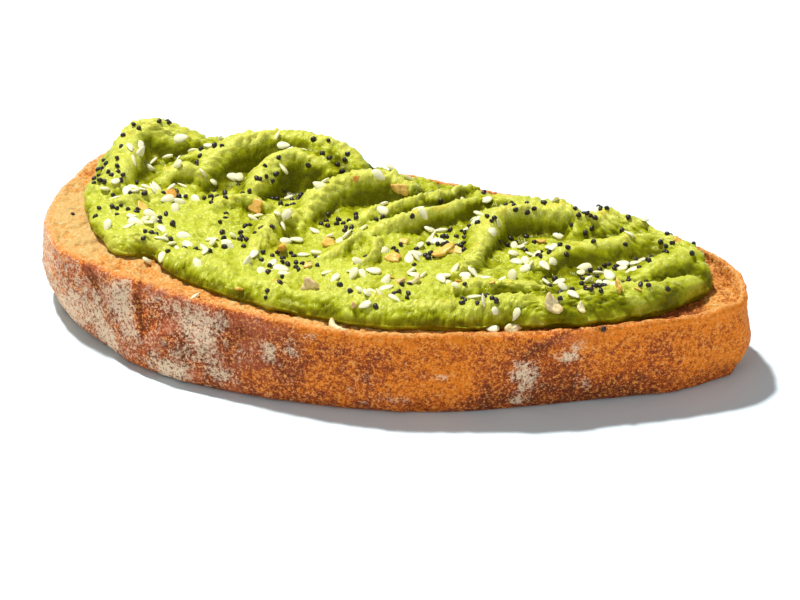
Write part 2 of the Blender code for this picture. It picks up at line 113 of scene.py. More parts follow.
# The knife's folds. Each has how far to the left and to the right of the way along it has fallen by
# FALL, and its crest's points: x, y and height over the crumb.
FALL = 5.0
FOLDS = {
    "heel hump": (6.5, 4.0, (
        (-63, -4, 4.2), (-63, 0, 5.4), (-63, 5, 6.8), (-64, 11, 8.2), (-66, 17, 9.2),
        (-65, 21, 9.9), (-62, 22.5, 9.9), (-59, 23, 9.4), (-56, 23, 8.3), (-53, 23.5, 7.1),
        (-50, 23.5, 6.2),
    )),
    "heel nub": (4.2, 3.4, (
        (-54, 7, 5.4), (-53, 9.5, 6.8), (-51, 11, 7.4), (-48.5, 11.5, 7.0), (-47, 11, 5.8),
    )),
    "saddle": (5, 4, (
        (-52, 17, 6.0), (-49, 18.5, 7.0), (-46.5, 20, 7.6),
    )),
    "back fold": (6.0, 3.8, (
        (-47.5, 11, 4.6), (-47, 15, 6.2), (-46, 19, 7.9), (-43.5, 22.4, 9.0), (-40.6, 24.6, 9.7),
        (-37, 26.4, 10.0), (-33.5, 27.4, 10.1), (-30, 28.2, 10.1), (-27, 28.6, 9.9),
        (-24, 28.6, 9.7), (-21.5, 28, 9.0),
    )),
    "back fold's end": (5, 6.5, (
        (-25, 28, 9.7), (-22, 28, 9.1), (-19, 27, 8.1), (-16.5, 25, 6.8), (-14, 24, 5.6),
    )),
    "middle fold": (5.5, 3.7, (
        (-34.5, 5, 4.4), (-33.5, 9, 6.2), (-32.8, 14, 8.2), (-31.6, 18, 9.3), (-29.2, 21, 9.6),
        (-26, 22, 9.2), (-23, 22, 8.2), (-20.7, 21, 6.9),
    )),
    "tongue": (3, 2.4, (
        (-23.6, 23.8, 5.8), (-20.7, 24.2, 6.5), (-17.4, 24, 6.2),
    )),
    "low nub": (4.5, 3.2, (
        (-41, -1.5, 4.0), (-38.5, 1.5, 5.2), (-35.5, 3.5, 5.9), (-33, 4.6, 6.0), (-30.6, 4, 5.4),
    )),
    "long fold": (5, 4.5, (
        (-24, -20, 4.0), (-25, -14, 4.8), (-25, -8, 5.6), (-24.5, -3.5, 6.4), (-23.5, 0, 6.7),
        (-22, 2, 6.2),
    )),
    "crook": (5, 3.8, (
        (-19.6, 0, 4.6), (-19.6, 5, 6.2), (-19, 10, 7.6), (-17.4, 13.6, 8.4), (-15, 16.6, 8.8),
        (-12, 19, 8.8), (-8.8, 20.6, 8.4), (-5.8, 21, 7.6), (-3, 21, 6.6),
    )),
    "upper blade": (3.4, 2.6, (
        (-9, 5, 4.2), (-6.8, 9.4, 5.0), (-4, 12.4, 5.6), (-0.7, 15.2, 6.1), (2, 18.2, 6.4),
        (5.7, 20.6, 6.4), (8.1, 24, 6.1), (10.7, 27, 5.2),
    )),
    "lower blade": (4.0, 2.6, (
        (-6, -4, 4.0), (-4.6, 0, 4.6), (-3, 3.2, 5.4), (-0.5, 6.4, 6.0), (3, 9.6, 6.4),
        (7, 13, 6.6), (10.3, 17, 6.5), (13, 21, 6.0),
    )),
    "basin lip": (4, 2.8, (
        (-10, -11, 3.8), (-8, -8, 4.7), (-6.9, -4, 5.2), (-5.8, 0, 5.0),
    )),
    "pale ridge": (2.4, 2.6, (
        (-3.3, -12.3, 4.0), (-1.4, -9.5, 4.8), (-0.8, -6, 5.2), (-2, -1, 5.0),
    )),
    "peak": (6, 3.2, (
        (18.5, -7, 4.0), (20, -4, 4.7), (20.7, -0.5, 5.4), (20.2, 4, 6.1), (19.4, 9, 6.8),
        (18.8, 13, 7.0),
    )),
    "back crest": (5.5, 3.0, (
        (18.5, 15, 6.9), (22.5, 17.6, 7.3), (26.6, 19, 7.5), (30.7, 19.8, 7.4), (34.1, 20.8, 6.9),
        (36.4, 21, 5.8),
    )),
    "rear lip": (4, 5, (
        (12.6, 23.2, 5.8), (19.8, 22.5, 6.5), (26.6, 22.3, 7.3), (31, 22.3, 7.4), (34, 22, 6.8),
    )),
    "tip crest": (4, 5.0, (
        (35.7, 18.5, 5.2), (37.5, 20.6, 6.9), (40, 22, 7.7), (43, 22.4, 7.8), (46, 22, 7.3),
        (49.5, 21, 6.6), (53, 19.6, 5.8), (57, 18, 5.0),
    )),
    "tip fold": (6, 4.0, (
        (33.5, 2.5, 4.0), (35, 6, 4.9), (38, 8.4, 5.3), (42, 10.6, 5.5), (45.3, 13.6, 5.5),
        (48, 16.6, 5.7), (51.5, 18, 5.8), (55, 18, 5.6), (60, 17, 5.2),
    )),
    "end fold": (6.5, 4.6, (
        (54.5, 3.5, 4.0), (56, 7, 5.0), (58.2, 10.5, 5.8), (61, 13.2, 6.2), (63.5, 14, 6.0),
        (65.5, 12.5, 5.2),
    )),
    "front roll": (6, 12, (
        (38, -13, 4.2), (43.5, -10.2, 4.9), (47, -8, 5.3), (51, -5.2, 5.4), (55.5, -2.6, 5.5),
        (59, -0.4, 5.4), (62, 1.8, 5.0), (64.5, 4.4, 4.6),
    )),
    "front crest": (5, 3.6, (
        (20, -14, 4.4), (24.5, -11.3, 4.9), (30.2, -9.4, 5.1), (37.2, -8.4, 4.8),
    )),
    "first front lobe": (4, 8, (
        (-10, -25, 4.0), (-4, -25, 4.8), (2, -24.4, 5.2), (7, -23.8, 5.0), (10.5, -24.5, 4.0),
    )),
    "second front lobe": (3, 7, (
        (12.5, -23.6, 4.2), (16, -22.8, 4.6), (20, -21, 4.6), (23, -19, 4.0),
    )),
    "third front lobe": (4, 8, (
        (26, -17.8, 4.4), (30.5, -16, 5.1), (36, -14.2, 4.9), (40, -12.8, 4.2),
    )),
    "left lobe": (4.5, 7, (
        (-55, -17.8, 3.8), (-51, -17.2, 5.0), (-47.5, -17.2, 5.4), (-45, -18.2, 4.6),
    )),
    "middle lobe": (5, 8, (
        (-41, -21.6, 3.8), (-38.6, -20.6, 4.9), (-34.6, -20.6, 5.3), (-30, -22, 5.0),
        (-26.5, -24, 4.2),
    )),
    "right lobe": (4, 8, (
        (-22, -25.6, 4.0), (-17.3, -25.6, 4.6), (-13.3, -25.2, 4.3),
    )),
    "heel ridge": (5, 4, (
        (-60, -5, 4.4), (-57, -2, 5.2), (-53, 1, 5.0),
    )),
}
# Where the knife pressed: x, y, half length, half width, turn in degrees and depth.
HOLLOWS = {
    "under the heel hump": (-59, 11, 6, 4, 70, 0.9),
    "at the back fold's foot": (-41, 15, 8, 3.2, 45, 1.6),
    "seed pocket": (-26.5, 15.5, 5, 3, 15, 1.7),
    "under the low nub": (-30, 5.5, 4, 2.5, 10, 0.6),
    "long basin": (-16, -6, 12, 6, 70, 0.9),
    "crook hollow": (-9.5, 18, 5.5, 3, 20, 2.4),
    "blade basin": (9, -2, 10, 6, 60, 0.7),
    "peak hollow": (24, 12, 4, 2.6, 60, 1.8),
    "under the back crest": (31, 16.5, 5, 2.4, 15, 0.8),
    "tip basin": (46, 7, 9, 4.5, 30, 0.5),
    "end hollow": (63, 7, 3, 3, 0, 0.4),
}
# Patches that the knife left smooth: x, y, half length, half width and turn in degrees.
SMOOTH = (
    (-60.5, 7, 4, 4, 10), (-15, -6, 9, 4.5, 70), (-12.5, 8, 4, 3, 60), (7, 12.5, 9, 3, 50),
    (8, -4, 9, 5, 60), (40, 7, 9, 4, 30), (63, 9, 5, 4, 40), (-33, 20, 10, 3, 30),
)
# Painted shade on the avocado, or painted light where the strength is under 0: x, y, half length, half
# width, turn in degrees and strength.
PAINTED_SHADE_PATCHES = (
    (42, 7, 8, 4, 20, 0.85), (57, 13, 8, 5, 0, 0.35), (2, -27, 9, 3, 10, 0.45), (45, -12, 6, 3, 20, 0.35),
    (-25, 22, 12, 4, 0, 0.3), (-30, -3, 8, 4, 0, 0.3), (30, -21, 7, 2.5, 10, -0.9),
    (-54, -10, 8, 5, -30, -0.4), (33, 15, 8, 4, 20, -0.35), (-8, 4, 9, 4, 60, -0.2),
)

# ---- The crust's colouring ----
# Flour left on the front of the crust: x, height, half length, half height and strength.
FLOURED = (
    (-70.5, 3, 1.6, 4, 0.9), (-54.6, 8, 2.2, 5, 0.6), (-47.5, 14, 3.4, 4, 0.85), (-51.7, 4, 2.8, 3, 0.9),
    (-45, 9, 2.2, 2.2, 0.5), (-29.5, 14.5, 3.6, 3, 0.7), (-23.8, 15.5, 2.4, 2.4, 0.5),
    (-34.9, 3, 4, 2.4, 0.85), (-27, 9.5, 3.2, 3, 0.55), (-21.8, 5, 3.2, 2.5, 0.5),
    (-18.6, 10, 2, 2.5, 0.5), (-13.1, 12, 1.6, 2.2, 0.65), (-4, 17, 2.6, 1.2, 0.5),
    (-8, 13, 2, 1.5, 0.35), (22.3, 9.6, 2, 1, 0.5), (13.6, 4, 3.6, 1.3, 0.4), (37.9, 9.5, 2.2, 4.4, 0.95),
    (36.4, 2.6, 1.6, 1.3, 0.75), (46.1, 13, 2.3, 1.5, 0.85), (47.4, 15, 2, 1, 0.4),
    (51.8, 10.6, 1, 1, 0.4), (49, 5.5, 1.6, 2.4, 0.4), (-38, 17, 7, 2, 0.3), (-62, 4, 5, 4, 0.4),
)
# Where the front of the crust baked darkest, in the same numbers.
SCORCHED = (
    (-56, 18, 1.6, 2, 0.7), (-17, 17.5, 8, 2.6, 0.5), (-12, 8, 7, 6, 0.4), (-5, 14, 7, 5, 0.3),
    (-42, 11, 12, 9, 0.2), (-28, 9, 12, 9, 0.3), (43, 6, 9, 6, 0.5), (42, 16, 5, 2.2, 0.55),
    (54, 3, 5, 2.6, 0.3), (31, 4, 4, 3.5, 0.35), (24, 9, 7, 7, -0.4), (47, 16, 6, 3, -0.4),
    (60, 8, 6, 6, 0.22),
)
# Where the front of the crust baked red, in the same numbers.
RUDDY = (
    (-61, 17, 1.6, 2, 0.8), (-55, 18.5, 3, 1.3, 0.7), (-46.5, 17, 1, 3, 0.8), (-33, 18, 5, 1.4, 0.8),
    (-27, 15.5, 2, 2, 0.5), (-16, 17.5, 6, 1.6, 0.7), (-45, 5, 1.6, 2, 0.5), (-20, 2.5, 2.2, 2.5, 0.5),
    (-38, 8, 1.5, 3, 0.4), (46, 17.5, 5, 1.5, 0.6),
)
# Blisters and dents in the front of the crust: x, height, half length, half height and how far out.
BUMPS = (
    (-37, 9.9, 2.3, 2.2, 0.8), (6.6, 12.6, 3.2, 2.2, -0.9), (18.3, 1.0, 1.6, 2.4, -1.5),
    (29.8, 0, 2.2, 2.0, -1.1), (-4, 0, 3, 1.6, -0.8), (-56, 13, 3, 2.5, -0.6), (-24, 12, 3, 3, 0.5),
    (41, 11, 4, 3, -0.6), (35.5, 16.5, 3, 2.4, 0.7), (52, 14, 3, 3, 0.4), (-49, 16, 3.6, 3.6, 0.6),
    (62, 9, 5, 4, 0.4), (24, 8, 4, 4, 0.4),
)
# Creases in the front of the crust: the points along each in x and height, its half width and depth,
# and how far the crust stands out along its left.
CREASES = (
    (((-42.2, 10.0), (-42.9, 12.5), (-43.9, 15.5), (-43.6, 19.4)), 0.45, 0.35, 0.3),
    (((-55.2, 15.0), (-56.0, 17.5), (-57.8, 20.0)), 0.7, 0.25, 0.15),
    (((38.4, 13.6), (40.6, 16.0), (44.8, 18.2)), 0.8, 0.2, 1.0),
)


# ---- Settings ----
def setting(name, description, default, kind=FloatProperty, **details):
    return kind(name=name, description=description, default=default, **details)


def colour_setting(name, description, default):
    return setting(name, description, default, FloatVectorProperty, subtype="COLOR", size=3, min=0, max=1)


def length_setting(name, description, default):
    return setting(name, description, default, unit="LENGTH", min=0, precision=5)


class ToastSettings(PropertyGroup):
    golden: colour_setting("Golden crust", "Crust where the oven left it lightest", (0.90, 0.225, 0.008))
    russet: colour_setting("Russet crust", "Crust where it baked hard", (0.44, 0.078, 0.014))
    umber: colour_setting("Umber crust", "Crust where it baked darkest", (0.17, 0.034, 0.008))
    ruddy: colour_setting("Ruddy crust", "Crust where it baked red", (0.56, 0.12, 0.05))
    crumb: colour_setting("Crumb", "Cut face where it is barely toasted", (0.66, 0.425, 0.14))
    browned: colour_setting("Browned crumb", "Cut face where it toasted through", (0.74, 0.27, 0.035))
    seared: colour_setting("Seared crumb", "Cut face where it is darkest", (0.26, 0.06, 0.01))
    flour: colour_setting("Flour", "Dusting of flour on the crust", (0.92, 0.67, 0.44))
    cell: length_setting("Cell", "Spacing of the crust's mesh", 0.43 * MM)
    grain: length_setting("Grain", "Height of the crust's sandy grain", 0.12 * MM)
    dents: length_setting("Dents", "Depth of the crust's dents and blisters", 0.55 * MM)
    pores: length_setting("Pores", "Depth of the crumb's pores", 0.7 * MM)


class SpreadSettings(PropertyGroup):
    flesh: colour_setting("Flesh", "Avocado in the smooth furrows", (0.545, 0.57, 0.052))
    ripe: colour_setting("Ripe flesh", "Yellower avocado along the folds", (0.66, 0.66, 0.105))
    # Painted shade: the rich flesh is the half-shaded colour and the deep flesh the fully shaded one, laid
    # on where the painted shade mark is high.
    half_shade: colour_setting("Rich flesh", "Avocado smeared smooth on the slopes", (0.38, 0.405, 0.006))
    full_shade: colour_setting("Deep flesh", "Greener avocado in the hollows", (0.15, 0.15, 0.0008))
    # The stained flesh is painted shade with crust-coloured bounce light at the avocado's foot.
    painted_foot_shade: colour_setting("Stained flesh", "Avocado browned by the crust at its foot", (0.34, 0.19, 0.006))
    lobes: length_setting("Lobes", "Height of the broad unevenness", 0.45 * MM)
    lumps: length_setting("Lumps", "Height of the lumps in the mash", 0.62 * MM)
    grain: length_setting("Grain", "Height of the mash's fine grain", 0.17 * MM)


class SprinkleSettings(PropertyGroup):
    loose_sesame: setting("Loose sesame", "Sesame seeds away from the gathered ones", 8, IntProperty, min=0)
    loose_poppy: setting("Loose poppy", "Poppy seeds away from the gathered ones", 34, IntProperty, min=0)
    sesame_length: length_setting("Sesame length", "Length of a sesame seed", 3.4 * MM)
    poppy_length: length_setting("Poppy length", "Length of a poppy seed", 1.35 * MM)
    sesame: colour_setting("Sesame", "Hulled sesame", (0.95, 0.90, 0.62))
    poppy: colour_setting("Poppy", "Black poppy seed", (0.010, 0.007, 0.006))
    onion: colour_setting("Onion", "Dried onion", (0.90, 0.58, 0.12))
    garlic: colour_setting("Garlic", "Dried garlic", (0.93, 0.81, 0.46))


class StageSettings(PropertyGroup):
    azimuth: setting("Azimuth", "Camera's turn round the toast", math.radians(20), subtype="ANGLE")
    elevation: setting("Elevation", "Camera's height over the table", math.radians(30), subtype="ANGLE")
    distance: length_setting("Distance", "From the camera to the toast", 0.85)
    lens: setting("Lens", "Focal length in millimetres on a 36 mm sensor", 179.8, min=1)
    floor: colour_setting("Floor", "Table top", (0.80, 0.925, 0.975))
    key: setting("Key light", "Power of the lamp over the far left", 33.0, unit="POWER")
    fill: setting("Fill light", "Power of the wide lamp in front", 4.2, unit="POWER")
    side: setting("Side light", "Power of the lamp at the tip", 4.5, unit="POWER")
    sky: setting("Sky", "Strength of the even light all round", 0.22, min=0)


# ---- Curves and fields ----
def smooth_curve(corners, steps, closed):
    """Points of the Catmull-Rom curve through the corners, so many for each stretch."""
    corners = np.array(corners, float)
    if closed:
        padded = np.vstack([corners[-1:], corners, corners[:2]])
    else:
        padded = np.vstack([2 * corners[0] - corners[1], corners, 2 * corners[-1] - corners[-2]])
    t = np.linspace(0, 1, steps, endpoint=False)[:, None]
    stretches = []
    for before, here, after, beyond in zip(padded, padded[1:], padded[2:], padded[3:]):
        bend = (2 * before - 5 * here + 4 * after - beyond) * t ** 2
        twist = (3 * here - before - 3 * after + beyond) * t ** 3
        stretches.append((2 * here + (after - before) * t + bend + twist) / 2)
    if not closed:
        stretches.append(corners[-1:])
    return np.vstack(stretches)


def even_loop(loop, count):
    """The same closed line at so many evenly spaced points, with whatever else its points carry."""
    closed = np.vstack([loop, loop[:1]])
    lengths = np.concatenate([[0], np.cumsum(np.linalg.norm(np.diff(closed[:, :2], axis=0), axis=1))])
    marks = np.linspace(0, lengths[-1], count, endpoint=False)
    return np.stack([np.interp(marks, lengths, column) for column in closed.T], 1)


def outward(loop):
    """Unit normals of a counterclockwise loop, pointing out."""
    along = np.roll(loop, -1, 0) - np.roll(loop, 1, 0)
    along /= np.linalg.norm(along, axis=1)[:, None]
    return np.stack([along[:, 1], -along[:, 0]], 1)


def smooth_step(value, low, high):
    t = np.clip((value - low) / (high - low), 0, 1)
    return t * t * (3 - 2 * t)


def noise_spots(points, size, seed):
    """Where to read the noise for points in millimetres, far from where every other seed reads it."""
    return (points / size + seed * 7.31).tolist()


def scattered(points, size, seed, kind="PERLIN_NEW"):
    """Noise from about -1 to 1, with features about that size."""
    spots = noise_spots(points, size, seed)
    return np.fromiter((noise.noise(spot, noise_basis=kind) for spot in spots), float, len(spots))


def cloudy(points, size, seed):
    """Noise with finer and finer detail in it, from about -1 to 1."""
    fineness, closeness, octaves = 0.9, 2.1, 4
    spots = noise_spots(points, size, seed)
    values = (noise.fractal(spot, fineness, closeness, octaves) for spot in spots)
    return np.fromiter(values, float, len(spots))


def pebbles(points, size, seed):
    """Rounded lumps with creases between them, from -1 in a crease to 1 on a lump."""
    return np.clip(-1.35 * scattered(points, size, seed, "VORONOI_F1") - 0.1, -1, 1)


def in_patch(points, x, y, half_length, half_width, turn=0):
    """1 at the middle of a turned oval patch, falling smoothly to 0."""
    cos, sin = math.cos(math.radians(turn)), math.sin(math.radians(turn))
    along = ((points[:, 0] - x) * cos + (points[:, 1] - y) * sin) / half_length
    aside = (-(points[:, 0] - x) * sin + (points[:, 1] - y) * cos) / half_width
    return np.exp(-(along ** 2 + aside ** 2))


def patched(points, table):
    """All of a table's patches together, each as strong as its last number."""
    return sum(strength * in_patch(points, *patch) for *patch, strength in table)


def crease(points, line, half_width, depth=1.0, lip=0.0):
    """How far a crease pushes the crust out at points in x and height: in along it, out on its left."""
    best, side = np.full(len(points), np.inf), np.zeros(len(points))
    for start, end in zip(np.array(line), np.array(line)[1:]):
        step, off = end - start, points - start
        off = off - np.clip(off @ step / (step @ step), 0, 1)[:, None] * step
        gap = np.hypot(*off.T)
        nearer = gap < best
        best[nearer] = gap[nearer]
        side[nearer] = np.sign(step[0] * off[:, 1] - step[1] * off[:, 0])[nearer]
    return lip * (side > 0) * np.exp(-(best / 2.4) ** 2) - depth * np.exp(-(best / half_width) ** 2)


# ---- Meshes ----
def ring_faces(rings):
    """Quads between closed rings of point numbers, each as long as the next."""
    faces = []
    for lower, upper in zip(rings, rings[1:]):
        faces.append(np.stack([lower, np.roll(lower, -1), np.roll(upper, -1), upper], 1))
    return np.vstack(faces).tolist()


def add_mesh(name, points, faces):
    mesh = bpy.data.meshes.new(name)
    mesh.from_pydata((np.asarray(points) * MM).tolist(), [], faces)
    mesh.shade_smooth()
    piece = bpy.data.objects.new(name, mesh)
    bpy.context.scene.collection.objects.link(piece)
    return piece


def points_of(piece):
    flat = np.empty(len(piece.data.vertices) * 3)
    piece.data.vertices.foreach_get("co", flat)
    return flat.reshape(-1, 3) / MM


def normals_of(piece):
    flat = np.empty(len(piece.data.vertices) * 3)
    piece.data.vertex_normals.foreach_get("vector", flat)
    return flat.reshape(-1, 3)


def move_points(piece, points):
    piece.data.vertices.foreach_set("co", (points * MM).ravel())
    piece.data.update()


def mark(piece, name, values):
    """Keeps a number for each point, which the finish reads by this name."""
    kept = piece.data.attributes.new(name, "FLOAT", "POINT")
    kept.data.foreach_set("value", np.asarray(values, np.float32))


def settle(piece, finish):
    """Gives a piece its finish and ties it to the part."""
    piece.data.materials.append(finish)
    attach(piece, "root")


# ---- Finishes ----
class Finish:
    """A material that is put together node by node. Patterns are laid out in the part's own space."""

    def __init__(self, name, roughness, specular=0.5):
        self.material = bpy.data.materials.new(name)
        self.material.use_nodes = True
        self.tree = self.material.node_tree
        self.shader = self.tree.nodes["Principled BSDF"]
        self.shader.inputs["Roughness"].default_value = roughness
        self.shader.inputs["Specular IOR Level"].default_value = specular
        self.place = self.tree.nodes.new("ShaderNodeTexCoord").outputs["Object"]

    def set(self, socket, value):
        if isinstance(value, bpy.types.NodeSocket):
            self.tree.links.new(value, socket)
        elif hasattr(value, "__len__") and len(value) == 3 and socket.type == "RGBA":
            socket.default_value = (*value, 1)
        else:
            socket.default_value = value

    def node(self, kind, inputs, **settings):
        """A new node of this kind with these inputs and settings."""
        node = self.tree.nodes.new("ShaderNode" + kind)
        for name, value in settings.items():
            setattr(node, name, value)
        for name, value in inputs.items():
            self.set(node.inputs[name], value)
        return node

    def grain(self, size, detail=3.0, roughness=0.6):
        """Noise from 0 to 1 with features of this many millimetres."""
        inputs = {"Vector": self.place, "Scale": 1 / (size * MM), "Detail": detail, "Roughness": roughness}
        return self.node("TexNoise", inputs).outputs["Fac"]

    def specks(self, size):
        """The distance from scattered specks, 0 at each."""
        inputs = {"Vector": self.place, "Scale": 1 / (size * MM)}
        return self.node("TexVoronoi", inputs).outputs["Distance"]

    def value_of(self, name):
        """What mark kept under this name."""
        return self.node("Attribute", {}, attribute_name=name).outputs["Fac"]

    def stretch(self, value, low, high, to_low=0.0, to_high=1.0):
        inputs = {"Value": value, "From Min": low, "From Max": high, "To Min": to_low, "To Max": to_high}
        return self.node("MapRange", inputs).outputs["Result"]

    def add(self, first, second):
        return self.node("Math", {0: first, 1: second}, operation="ADD").outputs[0]

    def times(self, first, second):
        return self.node("Math", {0: first, 1: second}, operation="MULTIPLY").outputs[0]

    def mix(self, share, first, second):
        """The first colour at a share of 0, the second at 1."""
        return self.node("Mix", {"Factor": share, 6: first, 7: second}, data_type="RGBA").outputs[2]

    def relief(self, height, depth, **under):
        """A bumped normal, on top of the Normal given, if any."""
        return self.node("Bump", {"Height": height, "Distance": depth, **under}).outputs["Normal"]

    def finish(self, **sockets):
        for name, value in sockets.items():
            self.set(self.shader.inputs[name.replace("_", " ")], value)
        return self.material


# The grains that stand out of the bare crust, of the floured crust and of the pale crumb.
BARE_GRAIN, FLOURED_GRAIN, CRUMB_GRAIN = (0.94, 0.40, 0.10), (0.93, 0.55, 0.28), (0.96, 0.72, 0.36)
# The avocado's ochre streaks, its pale curds, and wet glints painted into its colour as highlights.
OCHRE, CURD, PAINTED_GLINT = (0.74, 0.56, 0.05), (0.82, 0.81, 0.32), (0.93, 0.93, 0.62)


def toast_finish(settings):
    finish = Finish("toast", 0.74, 0.2)
    bake_and_painted_light, flour, crumb = (finish.value_of(name) for name in ("bake_and_painted_light", "flour", "crumb"))
    cloud = finish.grain(7.0)
    mottle = finish.grain(2.2, 4.0, 0.65)
    grit = finish.grain(0.8)
    sand = finish.grain(0.38, 2.0)
    patchy = finish.stretch(cloud, 0.35, 0.65, -0.14, 0.14)
    uneven = finish.add(patchy, finish.stretch(mottle, 0.3, 0.7, -0.34, 0.34))
    tone = finish.stretch(sand, 0.3, 0.7, 0.0, 0.5)
    tone = finish.add(tone, finish.stretch(grit, 0.3, 0.7, 0.0, 0.5))
    graininess = finish.stretch(crumb, 0, 1, 1.0, 0.6)
    bake_and_painted_light = finish.add(bake_and_painted_light, uneven)
    bake_and_painted_light = finish.add(bake_and_painted_light, finish.times(finish.stretch(tone, 0.2, 0.8, 0.7, -0.5), graininess))
    crust = finish.mix(finish.stretch(bake_and_painted_light, 0.0, 0.65), settings.golden, settings.russet)
    crust = finish.mix(finish.stretch(bake_and_painted_light, 0.6, 1.2), crust, settings.umber)
    ruddy = finish.times(finish.value_of("ruddy"), finish.stretch(mottle, 0.36, 0.6, 0.2, 1.0))
    crust = finish.mix(ruddy, crust, settings.ruddy)
    cut = finish.mix(finish.stretch(bake_and_painted_light, 0.0, 0.5), settings.crumb, settings.browned)
    cut = finish.mix(finish.stretch(bake_and_painted_light, 0.45, 1.0), cut, settings.seared)
    colour = finish.mix(crumb, crust, cut)
    on_crumb = finish.mix(finish.stretch(bake_and_painted_light, 0.0, 0.6), CRUMB_GRAIN, settings.browned)
    on_crust = finish.mix(finish.stretch(flour, 0.05, 0.45), BARE_GRAIN, FLOURED_GRAIN)
    standing_out = finish.times(finish.stretch(tone, 0.54, 0.85, 0, 0.9), graininess)
    colour = finish.mix(standing_out, colour, finish.mix(crumb, on_crust, on_crumb))
    dust = finish.times(flour, finish.stretch(tone, 0.2, 0.8, 0.2, 1.6))
    dust = finish.add(dust, finish.stretch(mottle, 0.3, 0.7, -0.28, 0.28))
    colour = finish.mix(finish.stretch(dust, 0.24, 0.84, 0, 0.9), colour, settings.flour)
    normal = finish.relief(sand, 0.22 * MM)
    normal = finish.relief(grit, 0.36 * MM, Normal=normal)
    return finish.finish(Base_Color=colour, Normal=normal)


def avocado_finish(settings):
    finish = Finish("avocado", 0.33, 0.22)
    crest, painted_shade = finish.value_of("crest"), finish.value_of("painted_shade")
    cloud = finish.grain(9.0)
    fibre = finish.grain(1.4, 4.0, 0.65)
    curd = finish.grain(0.45, 2.0)
    patchy = finish.stretch(cloud, 0.3, 0.7, -0.15, 0.15)
    uneven = finish.add(patchy, finish.stretch(fibre, 0.3, 0.7, 0.2, -0.2))
    painted_shade = finish.stretch(finish.add(painted_shade, uneven), 0, 1)
    colour = finish.mix(finish.times(crest, 0.8), settings.flesh, settings.ripe)
    streaks = finish.times(crest, finish.stretch(finish.grain(3.2, 2.0), 0.54, 0.68, 0, 0.6))
    colour = finish.mix(streaks, colour, OCHRE)
    colour = finish.mix(finish.stretch(curd, 0.56, 0.72, 0, 0.6), colour, CURD)
    # Painted shade: half-shaded, then fully shaded flesh where the painted shade mark is high.
    colour = finish.mix(finish.stretch(painted_shade, 0.0, 0.5), colour, settings.half_shade)
    colour = finish.mix(finish.stretch(painted_shade, 0.42, 1.0), colour, settings.full_shade)
    # Painted shade with crust-coloured bounce light at the foot.
    colour = finish.mix(finish.times(finish.value_of("painted_foot_shade"), 0.2), colour, settings.painted_foot_shade)
    # Painted highlights: pale glint specks, kept out of the painted shade.
    painted_glints = finish.stretch(finish.specks(0.9), 0.22, 0.12)
    painted_glints = finish.times(painted_glints, finish.stretch(fibre, 0.46, 0.58))
    painted_glints = finish.times(painted_glints, finish.stretch(painted_shade, 0.1, 0.5, 1, 0))
    return finish.finish(
        Base_Color=finish.mix(painted_glints, colour, PAINTED_GLINT),
        Roughness=finish.stretch(fibre, 0.3, 0.7, 0.16, 0.38),
        Normal=finish.relief(curd, 0.15 * MM),
        Specular_Tint=(0.95, 1.0, 0.4),
        Subsurface_Weight=0.12, Subsurface_Radius=(1.0, 1.0, 0.12), Subsurface_Scale=0.8 * MM,
    )


def sprinkle_finish(name, colour, shade, roughness, grain_size, depth, glow=0.0, edge=0.0):
    """A finish whose colour runs from piece to piece by their "tint", and within each by its grain."""
    finish = Finish(name, roughness)
    tint = finish.value_of("tint")
    speckle = finish.grain(grain_size)
    mixed = finish.mix(finish.stretch(tint, 0.45, 1, 0, 0.8), colour, shade)
    mixed = finish.mix(finish.stretch(speckle, 0.5, 0.75, 0, 0.7), mixed, shade)
    if edge:
        mixed = finish.mix(finish.stretch(finish.value_of("rim"), 0.5, 1.0, 0, edge), mixed, shade)
    normal = finish.relief(speckle, depth)
    return finish.finish(
        Base_Color=mixed, Normal=normal,
        Subsurface_Weight=glow, Subsurface_Radius=(1.0, 0.8, 0.5), Subsurface_Scale=0.5 * MM,
    )


# ---- Toast ----
def crumb_level(x):
    return CRUMB_LEVEL - CRUMB_TILT * x


